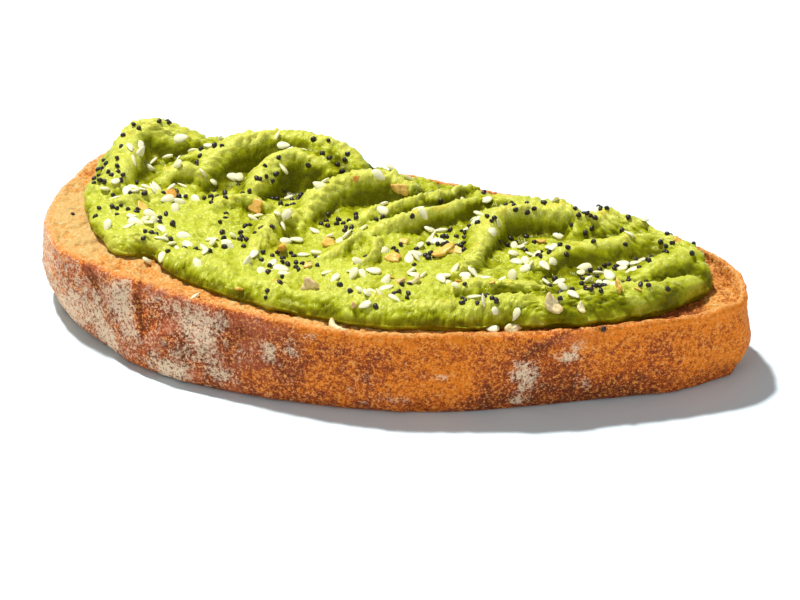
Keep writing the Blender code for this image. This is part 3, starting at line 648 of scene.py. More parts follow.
def toast_rows(loop, flare, cell):
    """The slice's rings from the crumb to the underside, and how much of each is crumb, not crust."""
    out = outward(loop)
    level = np.column_stack([loop, np.zeros(len(loop))])
    rim = RIM_LEVEL + 0.45 * scattered(level, 14.0, 1) + 0.2 * scattered(level, 4.0, 2)
    crumb = crumb_level(loop[:, 0])
    start, end = np.array(SLICE_SPINE)
    share = np.clip(((loop - start) @ (end - start)) / ((end - start) @ (end - start)), 0, 1)
    inward = start + share[:, None] * (end - start) - loop
    inward /= np.linalg.norm(inward, axis=1)[:, None]
    rows, crumbness = [], []

    def add(offset, height, share_of_crumb, towards=out):
        rows.append(np.column_stack([loop + towards * offset, np.zeros(len(loop)) + height]))
        crumbness.append(np.full(len(loop), share_of_crumb))

    for depth in np.arange(CRUMB_REACH, 0, -cell):
        blend = depth / CRUMB_REACH
        direction = inward * blend - out * (1 - blend)
        add(RIM_WIDTH + depth, crumb, 1.0, direction / np.linalg.norm(direction, axis=1)[:, None])
    for t in np.linspace(0, 1, 6, endpoint=False):
        height = crumb + (rim - crumb) * smooth_step(t, 0, 1.15)
        add(-RIM_WIDTH + (RIM_WIDTH - RIM_TOP) * t, height, 1.0 - 0.35 * t)
    for turn in np.linspace(70, 6, 8):
        a = math.radians(turn)
        height = rim - RIM_DROP * (1 - math.sin(a)) - 0.1
        add(-RIM_ROUND * (1 - math.cos(a)), height, smooth_step(turn, 25, 75) * 0.6)
    top = rim - WALL_TOP
    at_end = smooth_step(abs(loop[:, 0]), 58, 74)
    belly = BELLY + (END_BELLY - BELLY) * at_end
    for t in np.linspace(0, 1, round((RIM_LEVEL - WALL_TOP - FOOT_HEIGHT) / cell), endpoint=False):
        offset = flare * smooth_step(t, -0.1, 1.0) + belly * np.sin(math.pi * t ** (1 + 0.7 * at_end))
        add(offset[:, None], top + (FOOT_HEIGHT - top) * t, 0.0)
    for turn in np.linspace(0, 84, 8):
        a = math.radians(turn)
        add((flare - FOOT_INSET * (1 - math.cos(a)))[:, None], FOOT_HEIGHT * (1 - math.sin(a)), 0.0)
    for inset in np.linspace(FOOT_INSET, FOOT_INSET + 6, 8):
        add((flare - inset)[:, None], 0.0, 1.0)
    return rows, crumbness


def front_of(points, crumb):
    """Each point's x and height, and how much it belongs to the front of the crust."""
    front = smooth_step(-points[:, 1], -8, 4) * (1 - crumb)
    return np.column_stack([points[:, 0], points[:, 2]]), front


def slice_relief(points, crumb, settings):
    """How far each point is pushed out by dents, blisters, creases and grain, or in by the pores."""
    dents, pores, grain = settings.dents / MM, settings.pores / MM, settings.grain / MM
    wall = 1 - crumb
    place, front = front_of(points, crumb)
    holes = smooth_step(-pebbles(points, 2.4, 5), 0.1, 0.8)
    holes += 0.6 * smooth_step(-pebbles(points, 1.2, 6), 0.1, 0.8)
    push = wall * dents * (scattered(points, 11, 3) + 0.55 * scattered(points, 3.4, 4))
    push += front * patched(place, BUMPS)
    push += front * sum(crease(place, *line) for line in CREASES)
    push += wall * grain * (pebbles(points, 1.1, 8) + 0.8 * scattered(points, 0.7, 9))
    push -= crumb * pores * holes * (0.4 + 0.6 * smooth_step(scattered(points, 7, 10), -0.3, 0.5))
    return push + crumb * 0.25 * scattered(points, 1.6, 11)


def slice_marks(points, crumb):
    """What the finish reads at each point: its flour, how far it baked with painted shade and highlights
    mixed in, how red, and crumb or crust.
    """
    x, y, z = points.T
    wall = 1 - crumb
    place, front = front_of(points, crumb)
    heel = smooth_step(-x, 58, 71) * smooth_step(z, 5, 13)
    cracked = front * sum(crease(place, line, width * 1.3) for line, width, _, _ in CREASES)

    flour = 0.04 + 0.17 * smooth_step(-x, -8, 34) + 0.24 * smooth_step(-x, 44, 64)
    flour += 0.22 * cloudy(points, 9, 12)
    flour -= 0.30 * smooth_step(x, 44, 62) + 0.08 * smooth_step(z, 16.5, 19)
    flour += front * patched(place, FLOURED)
    flour = (flour + cracked + 0.3 * heel) * wall

    bake_and_painted_light = 0.20 + 0.28 * smooth_step(-x, -8, 34) + 0.22 * cloudy(points, 16, 13)
    # Painted shade: darker towards the foot of the crust.
    bake_and_painted_light += 0.18 * smooth_step(-z, -6, -1)
    bake_and_painted_light += front * patched(place, SCORCHED) - 0.8 * cracked
    # Painted highlight along the top of the wall and painted light at the tip.
    bake_and_painted_light -= 0.42 * smooth_step(z, 14.5, 19) + 0.3 * smooth_step(x, 62, 74) + 0.55 * heel
    # Painted shade low on the right half of the crust.
    bake_and_painted_light += 0.3 * smooth_step(-z, -9, 0) * smooth_step(x, 20, 45)
    toasted_and_shaded = 0.14 + 0.2 * cloudy(points, 10, 14) + 0.35 * smooth_step(y, -2, 18)
    toasted_and_shaded += 0.4 * smooth_step(-x, 54, 64) * smooth_step(y, 0, 12)
    # Painted shade on the front crumb along the avocado's foot.
    toasted_and_shaded += 0.07 * smooth_step(-y, 14, 24) * smooth_step(x, -62, -50)
    toasted_and_shaded += 0.85 * smooth_step(x, 10, 50) - 0.75 * smooth_step(x + 0.5 * y, 65, 75)
    # The rim's top is paler: painted highlight.
    bake_and_painted_light = bake_and_painted_light * wall + crumb * toasted_and_shaded - 0.3 * smooth_step(z, RIM_LEVEL - 0.9, RIM_LEVEL + 0.1)

    ruddy = 0.85 * wall * smooth_step(-x, 0, 20) * smooth_step(cloudy(points, 4.5, 15), -0.1, 0.4)
    ruddy += front * patched(place, RUDDY)
    return {"ruddy": np.clip(ruddy, 0, 1), "flour": np.clip(flour, 0, 1), "bake_and_painted_light": bake_and_painted_light, "crumb": crumb}


class TOAST_OT_slice(Operator):
    """Makes the slice: floured crust, rounded rim and toasted crumb"""

    bl_idname = "toast.slice"
    bl_label = "Toast"

    def execute(self, context):
        settings = context.scene.toast_slice
        cell = settings.cell / MM
        loop = smooth_curve(SLICE_OUTLINE, 24, closed=True)
        length = np.linalg.norm(np.diff(loop[:, :2], axis=0), axis=1).sum()
        loop = even_loop(loop, round(length / cell))
        rows, crumbness = toast_rows(loop[:, :2], loop[:, 2], cell)
        around = len(loop)
        rings = [np.arange(around) + i * around for i in range(len(rows))]
        faces = ring_faces(rings) + [rings[0][::-1].tolist(), rings[-1].tolist()]
        piece = add_mesh("toast_slice", np.vstack(rows), faces)
        piece.data.flip_normals()

        points, crumb = points_of(piece), np.concatenate(crumbness)
        ring = np.repeat(np.arange(len(rows)), around)
        # The rings next to the crumb's and the underside's flat faces stay flat.
        loose = np.clip(ring / 8, 0, 1) * np.clip((len(rows) - 1 - ring) / 6, 0, 1)
        above = points[:, 2] > 0.6  # the foot stays flat on the table
        push = slice_relief(points, crumb, settings) * loose * above
        move_points(piece, points + normals_of(piece) * push[:, None])
        for name, values in slice_marks(points, crumb).items():
            mark(piece, name, values)
        settle(piece, toast_finish(settings))
        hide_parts("toast")
        return {"FINISHED"}


# ---- Avocado ----
def fold_height(x, y, fold):
    """Height of one fold over the whole spread: its crest line, falling away to either side."""
    left, right, crest = fold
    line = smooth_curve(crest, 8, closed=False)
    start, step = line[:-1], np.diff(line, axis=0)
    length = np.hypot(step[:, 0], step[:, 1])
    best = np.full(len(x), np.inf)
    height, side = np.zeros(len(x)), np.zeros(len(x))
    for (ax, ay, az), (dx, dy, dz), size in zip(start, step, length):
        share = np.clip(((x - ax) * dx + (y - ay) * dy) / size ** 2, 0, 1)
        off_x, off_y = x - ax - share * dx, y - ay - share * dy
        gap = np.hypot(off_x, off_y)
        nearer = gap < best
        best[nearer] = gap[nearer]
        height[nearer] = (az + share * dz)[nearer]
        side[nearer] = ((dx * off_y - dy * off_x) / (size * np.maximum(gap, 1e-9)))[nearer]
    return height - FALL * (best / (right + (left - right) * (0.5 + 0.5 * side))) ** 2


def relief(x, y):
    """The swirled top's height over the crumb level, away from the spread's edge."""
    points = np.column_stack([x, y, np.zeros(len(x))])
    warp_x = x + 1.0 * scattered(points, 7, 21) + 0.3 * scattered(points, 2.6, 22)
    warp_y = y + 1.0 * scattered(points, 7, 23) + 0.3 * scattered(points, 2.6, 24)
    ground = LAYER - CRUMB_TILT * x + 0.6 * scattered(points, 8, 25) - patched(points, HOLLOWS.values())
    heights = np.stack([ground] + [fold_height(warp_x, warp_y, fold) for fold in FOLDS.values()])
    top = heights.max(0)
    return top + BLEND * np.log(np.exp((heights - top) / BLEND).sum(0))


def spread_grid(across, along):
    """Points of the spread in plan: nested squares drawn out to nested copies of the outline."""
    outline = smooth_curve(SPREAD_OUTLINE, 24, closed=True)[:, :2]
    centre = np.array(SPREAD_CENTRE)
    half = (outline.max(0) - outline.min(0)) / 2
    scaled = (outline - centre) / half
    angle = np.arctan2(scaled[:, 1], scaled[:, 0])
    order = angle.argsort()
    angle, radius = angle[order], np.hypot(*scaled[order].T)
    angle = np.concatenate([angle - 2 * math.pi, angle, angle + 2 * math.pi])
    radius = np.tile(radius, 3)
    u, v = np.meshgrid(np.linspace(-1, 1, across), np.linspace(-1, 1, along))
    ring = np.maximum(np.maximum(abs(u), abs(v)), 1e-9)
    sideways = abs(u) >= abs(v)
    side = np.where(ring > 1e-9, np.where(sideways, u, v), 1)
    turn = np.where(sideways, v / side, 2 - u / side) * math.pi / 4
    turn += math.pi * np.where(sideways, u < 0, v < 0)
    reach = ring * np.interp((turn + math.pi) % (2 * math.pi) - math.pi, angle, radius)
    x, y = centre[0] + reach * np.cos(turn) * half[0], centre[1] + reach * np.sin(turn) * half[1]
    nick_x, nick_y, depth, size = NOTCH
    pull = depth * np.exp(-((x - nick_x) ** 2 + (y - nick_y) ** 2) / size ** 2)
    return x - 0.25 * pull, y + pull


def grid_border(number):
    """The border of a grid of point numbers in order, counterclockwise."""
    return np.concatenate([number[0], number[1:, -1], number[-1, -2::-1], number[-2:0:-1, 0]])


def grid_faces(number):
    """Quads between the rows and columns of a grid of point numbers."""
    corners = (number[:-1, :-1], number[:-1, 1:], number[1:, 1:], number[1:, :-1])
    return np.stack(corners, -1).reshape(-1, 4).tolist()


def near_edge(x, y, border):
    """How far each point is from the spread's edge, and the share of thickness the edge has there."""
    outline = smooth_curve(SPREAD_OUTLINE, 24, closed=True)
    gap = np.full(len(x), np.inf)
    share = np.zeros(len(x))
    for i, j in zip(border, np.roll(border, -1)):
        side_x, side_y = x[j] - x[i], y[j] - y[i]
        along = np.clip(((x - x[i]) * side_x + (y - y[i]) * side_y) / (side_x ** 2 + side_y ** 2), 0, 1)
        here = np.hypot(x - x[i] - along * side_x, y - y[i] - along * side_y)
        nearer = here < gap
        gap[nearer] = here[nearer]
        share[nearer] = outline[np.hypot(outline[:, 0] - x[i], outline[:, 1] - y[i]).argmin(), 2]
    return gap, share


class Chart:
    """A field over the spread, worked out once on an even grid and read off anywhere after that."""

    STEP = 0.3

    def __init__(self, field, low_x, low_y, high_x, high_y):
        self.low = (low_x, low_y)
        x, y = np.meshgrid(np.arange(low_x, high_x, self.STEP), np.arange(low_y, high_y, self.STEP))
        self.values = field(x.ravel(), y.ravel()).reshape(x.shape)

    def read(self, x, y):
        column, row = (x - self.low[0]) / self.STEP, (y - self.low[1]) / self.STEP
        i = np.clip(row.astype(int), 0, self.values.shape[0] - 2)
        j = np.clip(column.astype(int), 0, self.values.shape[1] - 2)
        b, a = np.clip(row - i, 0, 1), np.clip(column - j, 0, 1)
        near = self.values[i, j] * (1 - a) + self.values[i, j + 1] * a
        return near * (1 - b) + (self.values[i + 1, j] * (1 - a) + self.values[i + 1, j + 1] * a) * b

    def blurred(self, reach):
        """The same field with everything smaller than the reach smoothed away."""
        rows, columns = (np.fft.fftfreq(count, self.STEP) for count in self.values.shape)
        fading = np.exp(-2 * (math.pi * reach) ** 2 * (rows[:, None] ** 2 + columns[None, :] ** 2))
        soft = copy.copy(self)
        soft.values = np.fft.ifft2(np.fft.fft2(self.values) * fading).real
        return soft


def evened_out(grid_x, grid_y, chart):
    """The grid's inner points slid about until they're as close together on slopes as on flats."""
    x, y = grid_x.copy(), grid_y.copy()
    rows, columns = x.shape
    for _ in range(80):
        spot = np.stack([x, y, chart.read(x, y)])
        side = np.linalg.norm(np.diff(spot, axis=2), axis=0)
        length = np.linalg.norm(np.diff(spot, axis=1), axis=0)
        pulls = (
            (side[1:-1, :-1], 0, -1), (side[1:-1, 1:], 0, 1),
            (length[:-1, 1:-1], -1, 0), (length[1:, 1:-1], 1, 0),
        )
        total = sum(pull for pull, _, _ in pulls)
        for place in (x, y):
            drawn = sum(
                pull * place[1 + down:rows - 1 + down, 1 + right:columns - 1 + right]
                for pull, down, right in pulls
            )
            place[1:-1, 1:-1] += 0.7 * (drawn / total - place[1:-1, 1:-1])
    return x, y


def edge_rows(loop, level, count):
    """Rings that round the spread's edge off, from the loop round its top down into the crumb."""
    out = outward(loop[:, :2])
    tall = loop[:, 2] - level
    scallop = 0.5 * scattered(loop, 7, 27) + 0.3 * scattered(loop, 2.6, 28)
    rows = []
    for t in np.linspace(0, 1, count + 1)[1:]:
        bulge = 0.22 * tall * math.sin(math.pi * t) + scallop * t - 0.5 * t * t
        height = loop[:, 2] - tall * t - 0.25 * smooth_step(t, 0.8, 1.0)
        rows.append(np.column_stack([loop[:, :2] + out * bulge[:, None], height]))
    return rows


def mash_relief(points, normals, gap, settings):
    """How far the mash pushes each point out, and how rough it is there."""
    smooth = np.zeros(len(points))
    for patch in SMOOTH:
        smooth = np.maximum(smooth, in_patch(points, *patch))
    rough = np.clip(0.9 + 0.5 * scattered(points, 9, 31) - 0.65 * smooth, 0.3, 1.2)
    # The knife drew the steep sides smooth.
    calm = 1 - 0.65 * smooth_step(1 - normals[:, 2], 0.3, 0.75)
    flank = 1 - smooth_step(gap, 1, 6)
    lumps, grain = settings.lumps / MM, settings.grain / MM
    lobes = settings.lobes / MM * (1 + 0.9 * flank)
    push = (0.3 + 0.7 * rough) * lobes * (scattered(points, 7, 37) + 0.5 * pebbles(points, 5.5, 38))
    push += calm * rough * lumps * (0.4 * pebbles(points, 2.6, 32) + 0.6 * pebbles(points, 1.5, 33))
    fine = pebbles(points, 0.8, 34) + scattered(points, 0.6, 35)
    push += calm * (0.35 + 0.65 * rough) * grain * fine
    turned = points @ np.array(Matrix.Rotation(math.radians(38), 3, "Z"))
    streaks = scattered(turned * (0.12, 1.0, 0.3), 0.9, 36)
    return push + 0.10 * smooth * streaks, rough


def spread_marks(points, normals, gap, sunken, push, rough):
    """What the finish reads at each point: how much it is a crest, how much painted shade it gets, and how
    much painted shade with crust-coloured bounce light lies at its foot.
    """
    x, y, z = points.T
    near_foot = 1 - smooth_step(gap, 0.3, 4.5)
    facing = smooth_step(-normals[:, 1], 0.0, 0.7)
    # Painted shade: darker on steep sides and on the front-facing foot, less of it on the front-facing
    # slopes of the right half.
    lit = 1.15 - 0.75 * facing * smooth_step(x, 12, 30)
    shade = 0.95 * (1 - normals[:, 2]) * lit + 0.4 * near_foot * facing
    # More painted shade on the right half and in the listed patches.
    shade += 0.42 * smooth_step(x, 10, 40) + patched(points, PAINTED_SHADE_PATCHES)
    # More painted shade on the folds at the back left.
    back = smooth_step(y, 6, 20) * smooth_step(x, -62, -46) * (1 - smooth_step(x, 10, 40))
    shade += 0.5 * back
    # Painted shade with crust-coloured bounce light low on the flank, by the crumb, where it faces front.
    painted_foot_shade = (1 - smooth_step(z - crumb_level(x), 0.2, 3.2)) * (1 - smooth_step(x, 20, 50))
    return {
        "crest": smooth_step(-sunken, -0.2, 1.2),
        "painted_foot_shade": painted_foot_shade * near_foot * smooth_step(-normals[:, 1], -0.2, 0.5),
        # Painted shade also grows on smooth patches and in the creases between lumps, and shrinks on the
        # lumps.
        "painted_shade": smooth_step(sunken + shade + 0.4 * (1 - rough) - 1.1 * push, 0.0, 1.8),
    }


class TOAST_OT_avocado(Operator):
    """Makes the avocado: folds and furrows of the knife, lumps of the mash and a rounded edge"""

    bl_idname = "toast.avocado"
    bl_label = "Avocado"

    ACROSS, ALONG, EDGE_ROWS = 420, 186, 11

    def execute(self, context):
        settings = context.scene.toast_spread
        grid_x, grid_y = spread_grid(self.ACROSS, self.ALONG)
        chart = Chart(relief, grid_x.min() - 3, grid_y.min() - 3, grid_x.max() + 3, grid_y.max() + 3)
        grid_x, grid_y = evened_out(grid_x, grid_y, chart)
        x, y = grid_x.ravel(), grid_y.ravel()
        number = np.arange(len(x)).reshape(grid_x.shape)
        border = grid_border(number)
        gap, full = near_edge(x, y, border)
        level = crumb_level(x)
        thick = CRUMB_LEVEL + relief(x, y) - level
        rise = np.clip(gap / (EDGE_REACH - EDGE_KEEP * full), 0, 1)
        thick *= full + (1 - full) * np.sqrt(rise * (2 - rise))
        lean = LEAN * np.clip(thick - LAYER, 0, None) * smooth_step(gap, 0, 4)
        sunken = 0.6 * chart.blurred(1.4).read(x, y) + 0.4 * chart.blurred(3.5).read(x, y) - chart.read(x, y)
        x = x + lean * math.cos(math.radians(LEAN_TURN))
        y = y + lean * math.sin(math.radians(LEAN_TURN))
        top = np.column_stack([x, y, level + thick])

        around, first = len(border), len(x)
        rings = [border] + [first + i * around + np.arange(around) for i in range(self.EDGE_ROWS)]
        quads = grid_faces(number) + ring_faces([ring[::-1] for ring in rings])
        rows = [top, *edge_rows(top[border], level[border], self.EDGE_ROWS)]
        piece = add_mesh("avocado_spread", np.vstack(rows), quads + [rings[-1][::-1].tolist()])

        points, normals = points_of(piece), normals_of(piece)
        gap = np.concatenate([gap, np.zeros(len(points) - first)])
        # The edge's rings count as more sunken the lower they lie, so that painted shade darkens the flank
        # towards its foot.
        sunken = np.concatenate([sunken, np.repeat(np.linspace(-0.3, 1.0, self.EDGE_ROWS), around)])
        push, rough = mash_relief(points, normals, gap, settings)
        free = np.ones(len(points))
        free[rings[-2]], free[rings[-1]] = 0.4, 0.0  # the foot stays tucked into the crumb
        move_points(piece, points + normals * (push * free)[:, None])
        for name, values in spread_marks(points, normals, gap, sunken, push, rough).items():
            mark(piece, name, values)
        settle(piece, avocado_finish(settings))
        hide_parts("avocado")
        return {"FINISHED"}


# ---- Sprinkles ----
def closed_shape(points, rings):
    """A lofted shape whose first and last points close its ends."""
    faces = ring_faces(rings)
    last = len(points) - 1
    for i, j in zip(rings[0], np.roll(rings[0], -1)):
        faces.append([0, int(j), int(i)])
    for i, j in zip(rings[-1], np.roll(rings[-1], -1)):
        faces.append([last, int(i), int(j)])
    return np.array(points, float), faces


def seed_shape(stations, section):
    """A seed of unit length along X: section tells a point's y and z from its share of the way and turn."""
    around = 12
    points, rings = [(-0.5, 0, 0)], []
    for t in np.linspace(0, 1, stations + 2)[1:-1]:
        rings.append(np.arange(around) + len(points))
        for turn in np.linspace(0, 2 * math.pi, around, endpoint=False):
            points.append((t - 0.5, *section(t, turn)))
    return closed_shape([*points, (0.5, 0, 0)], rings)


def sesame_section(t, turn):
    """A flat teardrop."""
    width = 0.30 * math.sin(math.pi * t ** 0.72) ** 0.72
    return width * math.cos(turn), 0.42 * width * math.sin(turn)


def poppy_section(t, turn):
    """A kidney, dented on one side."""
    fullness = 1 - (2 * t - 1) ** 2
    width = 0.42 * math.sqrt(fullness)
    dent = 1 - 0.22 * max(0.0, -math.cos(turn)) ** 3 * fullness
    return width * math.cos(turn) * dent + 0.10 * fullness, 0.86 * width * math.sin(turn)


def flake_shape(seed, thick, curl):
    """A ragged, curled chip of unit length along X, with straight broken sides."""
    rng = np.random.default_rng(seed)
    facing, reach = np.sort(rng.uniform(0, 2 * math.pi, 5)), rng.uniform(0.26, 0.44, 5)
    around = 22
    profile = ((0.35, 1.0), (0.7, 0.95), (0.92, 0.7), (1.0, 0.0), (0.92, -0.7), (0.7, -0.9), (0.35, -1.0))
    points, rings = [(0, 0, thick)], []
    for share, height in profile:
        rings.append(np.arange(around) + len(points))
        for a in np.linspace(0, 2 * math.pi, around, endpoint=False):
            side = (reach / np.maximum(np.cos(a - facing), 0.3)).min()
            side = min(side, 0.5) * (1 + 0.25 * noise.noise((2 * math.cos(a), 2 * math.sin(a), seed)))
            x, y = share * side * math.cos(a), 0.8 * share * side * math.sin(a)
            bumps = noise.noise((x * 5, y * 5, seed)) + 0.5 * noise.noise((x * 11, y * 11, seed))
            points.append((x, y, height * thick + curl * (x * x + 0.6 * x * y) + 0.8 * thick * bumps))
    return closed_shape([*points, (0, 0, -thick)], rings)


TAKEN = []  # every resting place so far, and how much room it needs round it
TREES = []


def ground_tree():
    """The search tree over the toast and the avocado in metres, made once they're both there."""
    if not TREES:
        corners, faces = [], []
        for name in ("avocado_spread", "toast_slice"):
            mesh = bpy.data.objects[name].data
            start = len(corners)
            corners += [v.co.copy() for v in mesh.vertices]
            faces += [[start + i for i in face.vertices] for face in mesh.polygons]
        TREES.append(BVHTree.FromPolygons(corners, faces))
    return TREES[0]


def landing(x, y):
    """Where something dropped at x, y comes down, and the way the surface faces there."""
    high = Vector((x * MM, y * MM, TOAST_HIGH + 0.05))
    spot, normal, _, _ = ground_tree().ray_cast(high, Vector((0, 0, -1)))
    if spot is None:
        return None
    return spot / MM, normal if normal.z > 0 else -normal


def inside(outline, x, y):
    a, b = outline, np.roll(outline, -1, 0)
    crosses = (a[:, 1] > y) != (b[:, 1] > y)
    cut = a[:, 0] + (y - a[:, 1]) * (b[:, 0] - a[:, 0]) / np.where(crosses, b[:, 1] - a[:, 1], 1)
    return bool((crosses & (x < cut)).sum() % 2)


def gathered(rng, clusters, loose, apart):
    """Resting places: so many round each cluster and the loose ones anywhere, never too close."""
    outline = smooth_curve(SPREAD_OUTLINE, 8, closed=True)[:, :2]
    low, high = outline.min(0), outline.max(0)
    spots = []
    for cluster in [*clusters, None]:
        wanted = len(spots) + (cluster[3] if cluster else loose)
        tries = 400 if cluster else 20 * loose
        for _ in range(tries):
            if len(spots) >= wanted:
                break
            x, y = rng.normal(cluster[:2], cluster[2]) if cluster else rng.uniform(low, high)
            found = landing(x, y)
            exact = cluster is not None and cluster[2] <= 0.5  # a stray may lie off the avocado
            if found is None or found[1].z < 0.5 or not (exact or inside(outline, x, y)):
                continue
            if any((found[0] - other).length < apart + gap for other, gap in TAKEN):
                continue
            TAKEN.append((found[0], apart))
            spots.append(found)
    if len(spots) < 0.8 * (loose + sum(cluster[3] for cluster in clusters)):
        raise RuntimeError("there's too little room for the sprinkles")
    return spots


def strew(name, shapes, spots, rng, lengths, sink, tilt):
    """Joins a copy of a shape at each spot into one piece, each with its own turn, tilt, depth and tint."""
    points, faces, tints, rims = [], [], [], []
    start = 0
    for (spot, normal), length in zip(spots, lengths):
        shape, shape_faces = shapes[rng.integers(len(shapes))]
        facing = (normal + Vector(rng.normal(0, tilt, 3))).normalized()
        spin = Matrix.Rotation(rng.uniform(0, 2 * math.pi), 3, "Z")
        turn = facing.to_track_quat("Z", "Y").to_matrix() @ spin
        middle = np.array(spot + normal * (rng.uniform(*sink) * length))
        points.append(shape * length @ np.array(turn).T + middle)
        faces += [[start + i for i in face] for face in shape_faces]
        start += len(shape)
        tints.append(np.full(len(shape), rng.random()))
        rim = np.hypot(shape[:, 0], shape[:, 1])
        rims.append(rim / rim.max())
    piece = add_mesh(name, np.vstack(points), faces)
    mark(piece, "tint", np.concatenate(tints))
    mark(piece, "rim", np.concatenate(rims))
    return piece


def add_seeds(name, shape, seed, clusters, loose, apart, length, variety, sink, tilt):
    """One piece of like seeds, gathered and loose, whose lengths vary between two shares."""
    rng = np.random.default_rng(seed)
    spots = gathered(rng, clusters, loose, apart)
    return strew(name, [shape], spots, rng, length / MM * rng.uniform(*variety, len(spots)), sink, tilt)


def add_flakes(name, shapes, seed, places, longer, sink):
    """One piece of like flakes, one at each place and each so many times as long as it takes up."""
    rng = np.random.default_rng(seed)
    spots = [landing(x, y) for x, y, _ in places]
    TAKEN.extend((spot, length / 3) for (spot, _), (_, _, length) in zip(spots, places))
    lengths = [longer * length for _, _, length in places]
    return strew(name, shapes, spots, rng, lengths, sink, tilt=0.3)


# Where the seeds gathered: x, y, reach and how many.
POPPY_CLUSTERS = (
    (-66, 18, 1.6, 3), (-59, 22, 1.2, 3), (-69, 9, 1.6, 4), (-65, 4, 2, 6), (-64, -1, 2, 4),
    (-59, -7, 2, 7), (-56, -3, 2, 4), (-48, -8, 2.5, 7), (-47, -14, 1.5, 4), (-49, 3, 1.2, 5),
    (-42, 6, 2.2, 9), (-35, -2, 1.5, 3), (-31, -11, 2, 7), (-28, -8, 1.5, 5), (-49, 18, 2.4, 7),
    (-34, 10, 2.4, 6), (-30, 13, 1.3, 6), (-26, 11, 1.6, 6), (-25, 17, 1.2, 4), (-13, 4, 2.4, 9),
    (-10, 4, 1.3, 5), (-20, 25, 1.6, 6), (-17, 21, 1, 4), (-16, -15, 3, 9), (-13, -14, 1.5, 4),
    (-6, 10, 1.8, 4), (0, 12, 2.5, 4), (2, -3, 2, 4), (9, 0, 2.4, 6), (12, 7, 2, 7), (14, 3, 1.4, 6),
    (14, 10, 1.5, 6), (24, 17, 1.5, 7), (19, 11, 1, 3), (25, 11, 2, 6), (35, 8, 2, 4), (37, 20, 1.7, 8),
    (40, 19, 1.2, 3), (46, 19, 0.7, 2), (46, 11, 2.5, 3), (39, 7, 3, 3), (35, 2, 2, 4), (45, -4, 2.6, 13),
    (49, -4, 1.5, 5), (52, 0, 2, 6), (57, -1, 1.8, 6), (56, 16, 1.6, 6), (55, 9, 1.3, 4),
    (12, -20, 1.3, 4), (28, -19, 1, 3), (61, 16, 2, 3), (26, -17, 2, 2), (0, -24, 2, 2),
    (-34, -18, 1.2, 3), (-39, -20, 1.6, 2), (-22, -16, 2.2, 5), (-13, -26, 1.8, 2), (9, -17, 1.6, 4),
    (23, -16, 1.8, 3), (41, -8, 1.8, 4), (43, 3, 2, 4), (47, 8, 1.8, 4), (-68.9, -7.2, 0.2, 1),
    (52.2, -15, 0.2, 1), (66.2, -2, 0.2, 1),
)
SESAME_CLUSTERS = (
    (-63, 13, 2, 5), (-58, 1, 3, 8), (-55, 3, 2.5, 3), (-49, 0, 2.2, 3), (-54, -11, 2.4, 5),
    (-47, -12, 2, 3), (-45, -18, 2.2, 3), (-39, -15, 3, 5), (-34, -14, 2, 5), (-56, 19, 2, 4),
    (-50, 21, 2.5, 4), (-45, 13, 2, 2), (-50, 5, 2.5, 4), (-39, 17, 2, 3), (-29, 0, 2, 3),
    (-32, 24, 2.2, 5), (-28, 14, 1.2, 3), (-20, 12, 1.3, 2), (-21, -3, 2.8, 6), (-15, -13, 3, 5),
    (-9, -1, 2.4, 5), (-7, 11, 2, 3), (-5, 20, 2, 3), (6, 9, 2.2, 4), (7, 0, 2, 4), (10, 5, 2, 3),
    (0, -12, 3, 6), (-2, -16, 2, 3), (5, -22, 3.5, 7), (16, -11, 3, 6), (19, -8, 3.4, 7), (20, 8, 2, 2),
    (26, 10, 1.5, 3), (30, 4, 3, 7), (37, 2, 3.5, 6), (27, -7, 2, 2), (45, -2, 3.4, 7), (47, 4, 2.5, 4),
    (51, 14, 2.5, 4), (51, 8, 2, 2), (28, -20, 3.4, 4), (12, 19, 2, 4), (15, 13, 1.5, 3),
    (38, 20, 1.5, 2), (48, 20, 1.5, 1), (29, 18, 3, 2), (6, -27, 1.5, 1), (-33, -25, 2, 1),
    (-25, -16, 2, 2), (-30.9, -30.8, 0.2, 1),
)
# The flakes of onion and the chips of garlic: x, y and length.
ONION = (
    (-20, -10, 4.2), (-12, -4, 3.2), (-12, -15, 2.2), (-50, 2, 3.4), (-56, 14, 1.8), (-54, -4, 2.4),
    (-31, 3, 3.2), (12, 1, 4.2), (14.5, 2, 2.6), (30, 12, 2.2), (27, -11, 1.8), (52, -5, 3.2),
    (58, 18, 2.4), (56, -4, 1.4), (-4, 19, 3.4), (-13, 16, 2.0), (-15, -24, 2.6), (3, 2, 2.2),
    (3, -5, 3.0), (20, -12, 1.8), (47, -7, 1.6), (-22, -28, 2.4), (5, -12, 1.8),
)
GARLIC = (
    (-8, -25, 4.2), (41, -14.5, 4.0), (46.5, -12.5, 2.2), (34, -20, 3.6), (3, -28.5, 1.6), (8, -14, 2.4),
    (11, -13, 2.8), (0.4, -32.2, 4.2),
)


class TOAST_OT_sesame(Operator):
    """Scatters the sesame seeds"""

    bl_idname = "toast.sesame"
    bl_label = "Sesame"

    def execute(self, context):
        settings = context.scene.toast_sprinkles
        piece = add_seeds(
            "sesame_seeds", seed_shape(11, sesame_section), 11, SESAME_CLUSTERS, settings.loose_sesame,
            apart=0.75, length=settings.sesame_length, variety=(0.84, 1.1), sink=(-0.03, 0.12), tilt=0.28,
        )
        finish = sprinkle_finish(
            "sesame", settings.sesame, shade=(0.88, 0.82, 0.46), roughness=0.36, grain_size=0.8,
            depth=0.04 * MM, glow=0.25,
        )
        settle(piece, finish)
        return {"FINISHED"}


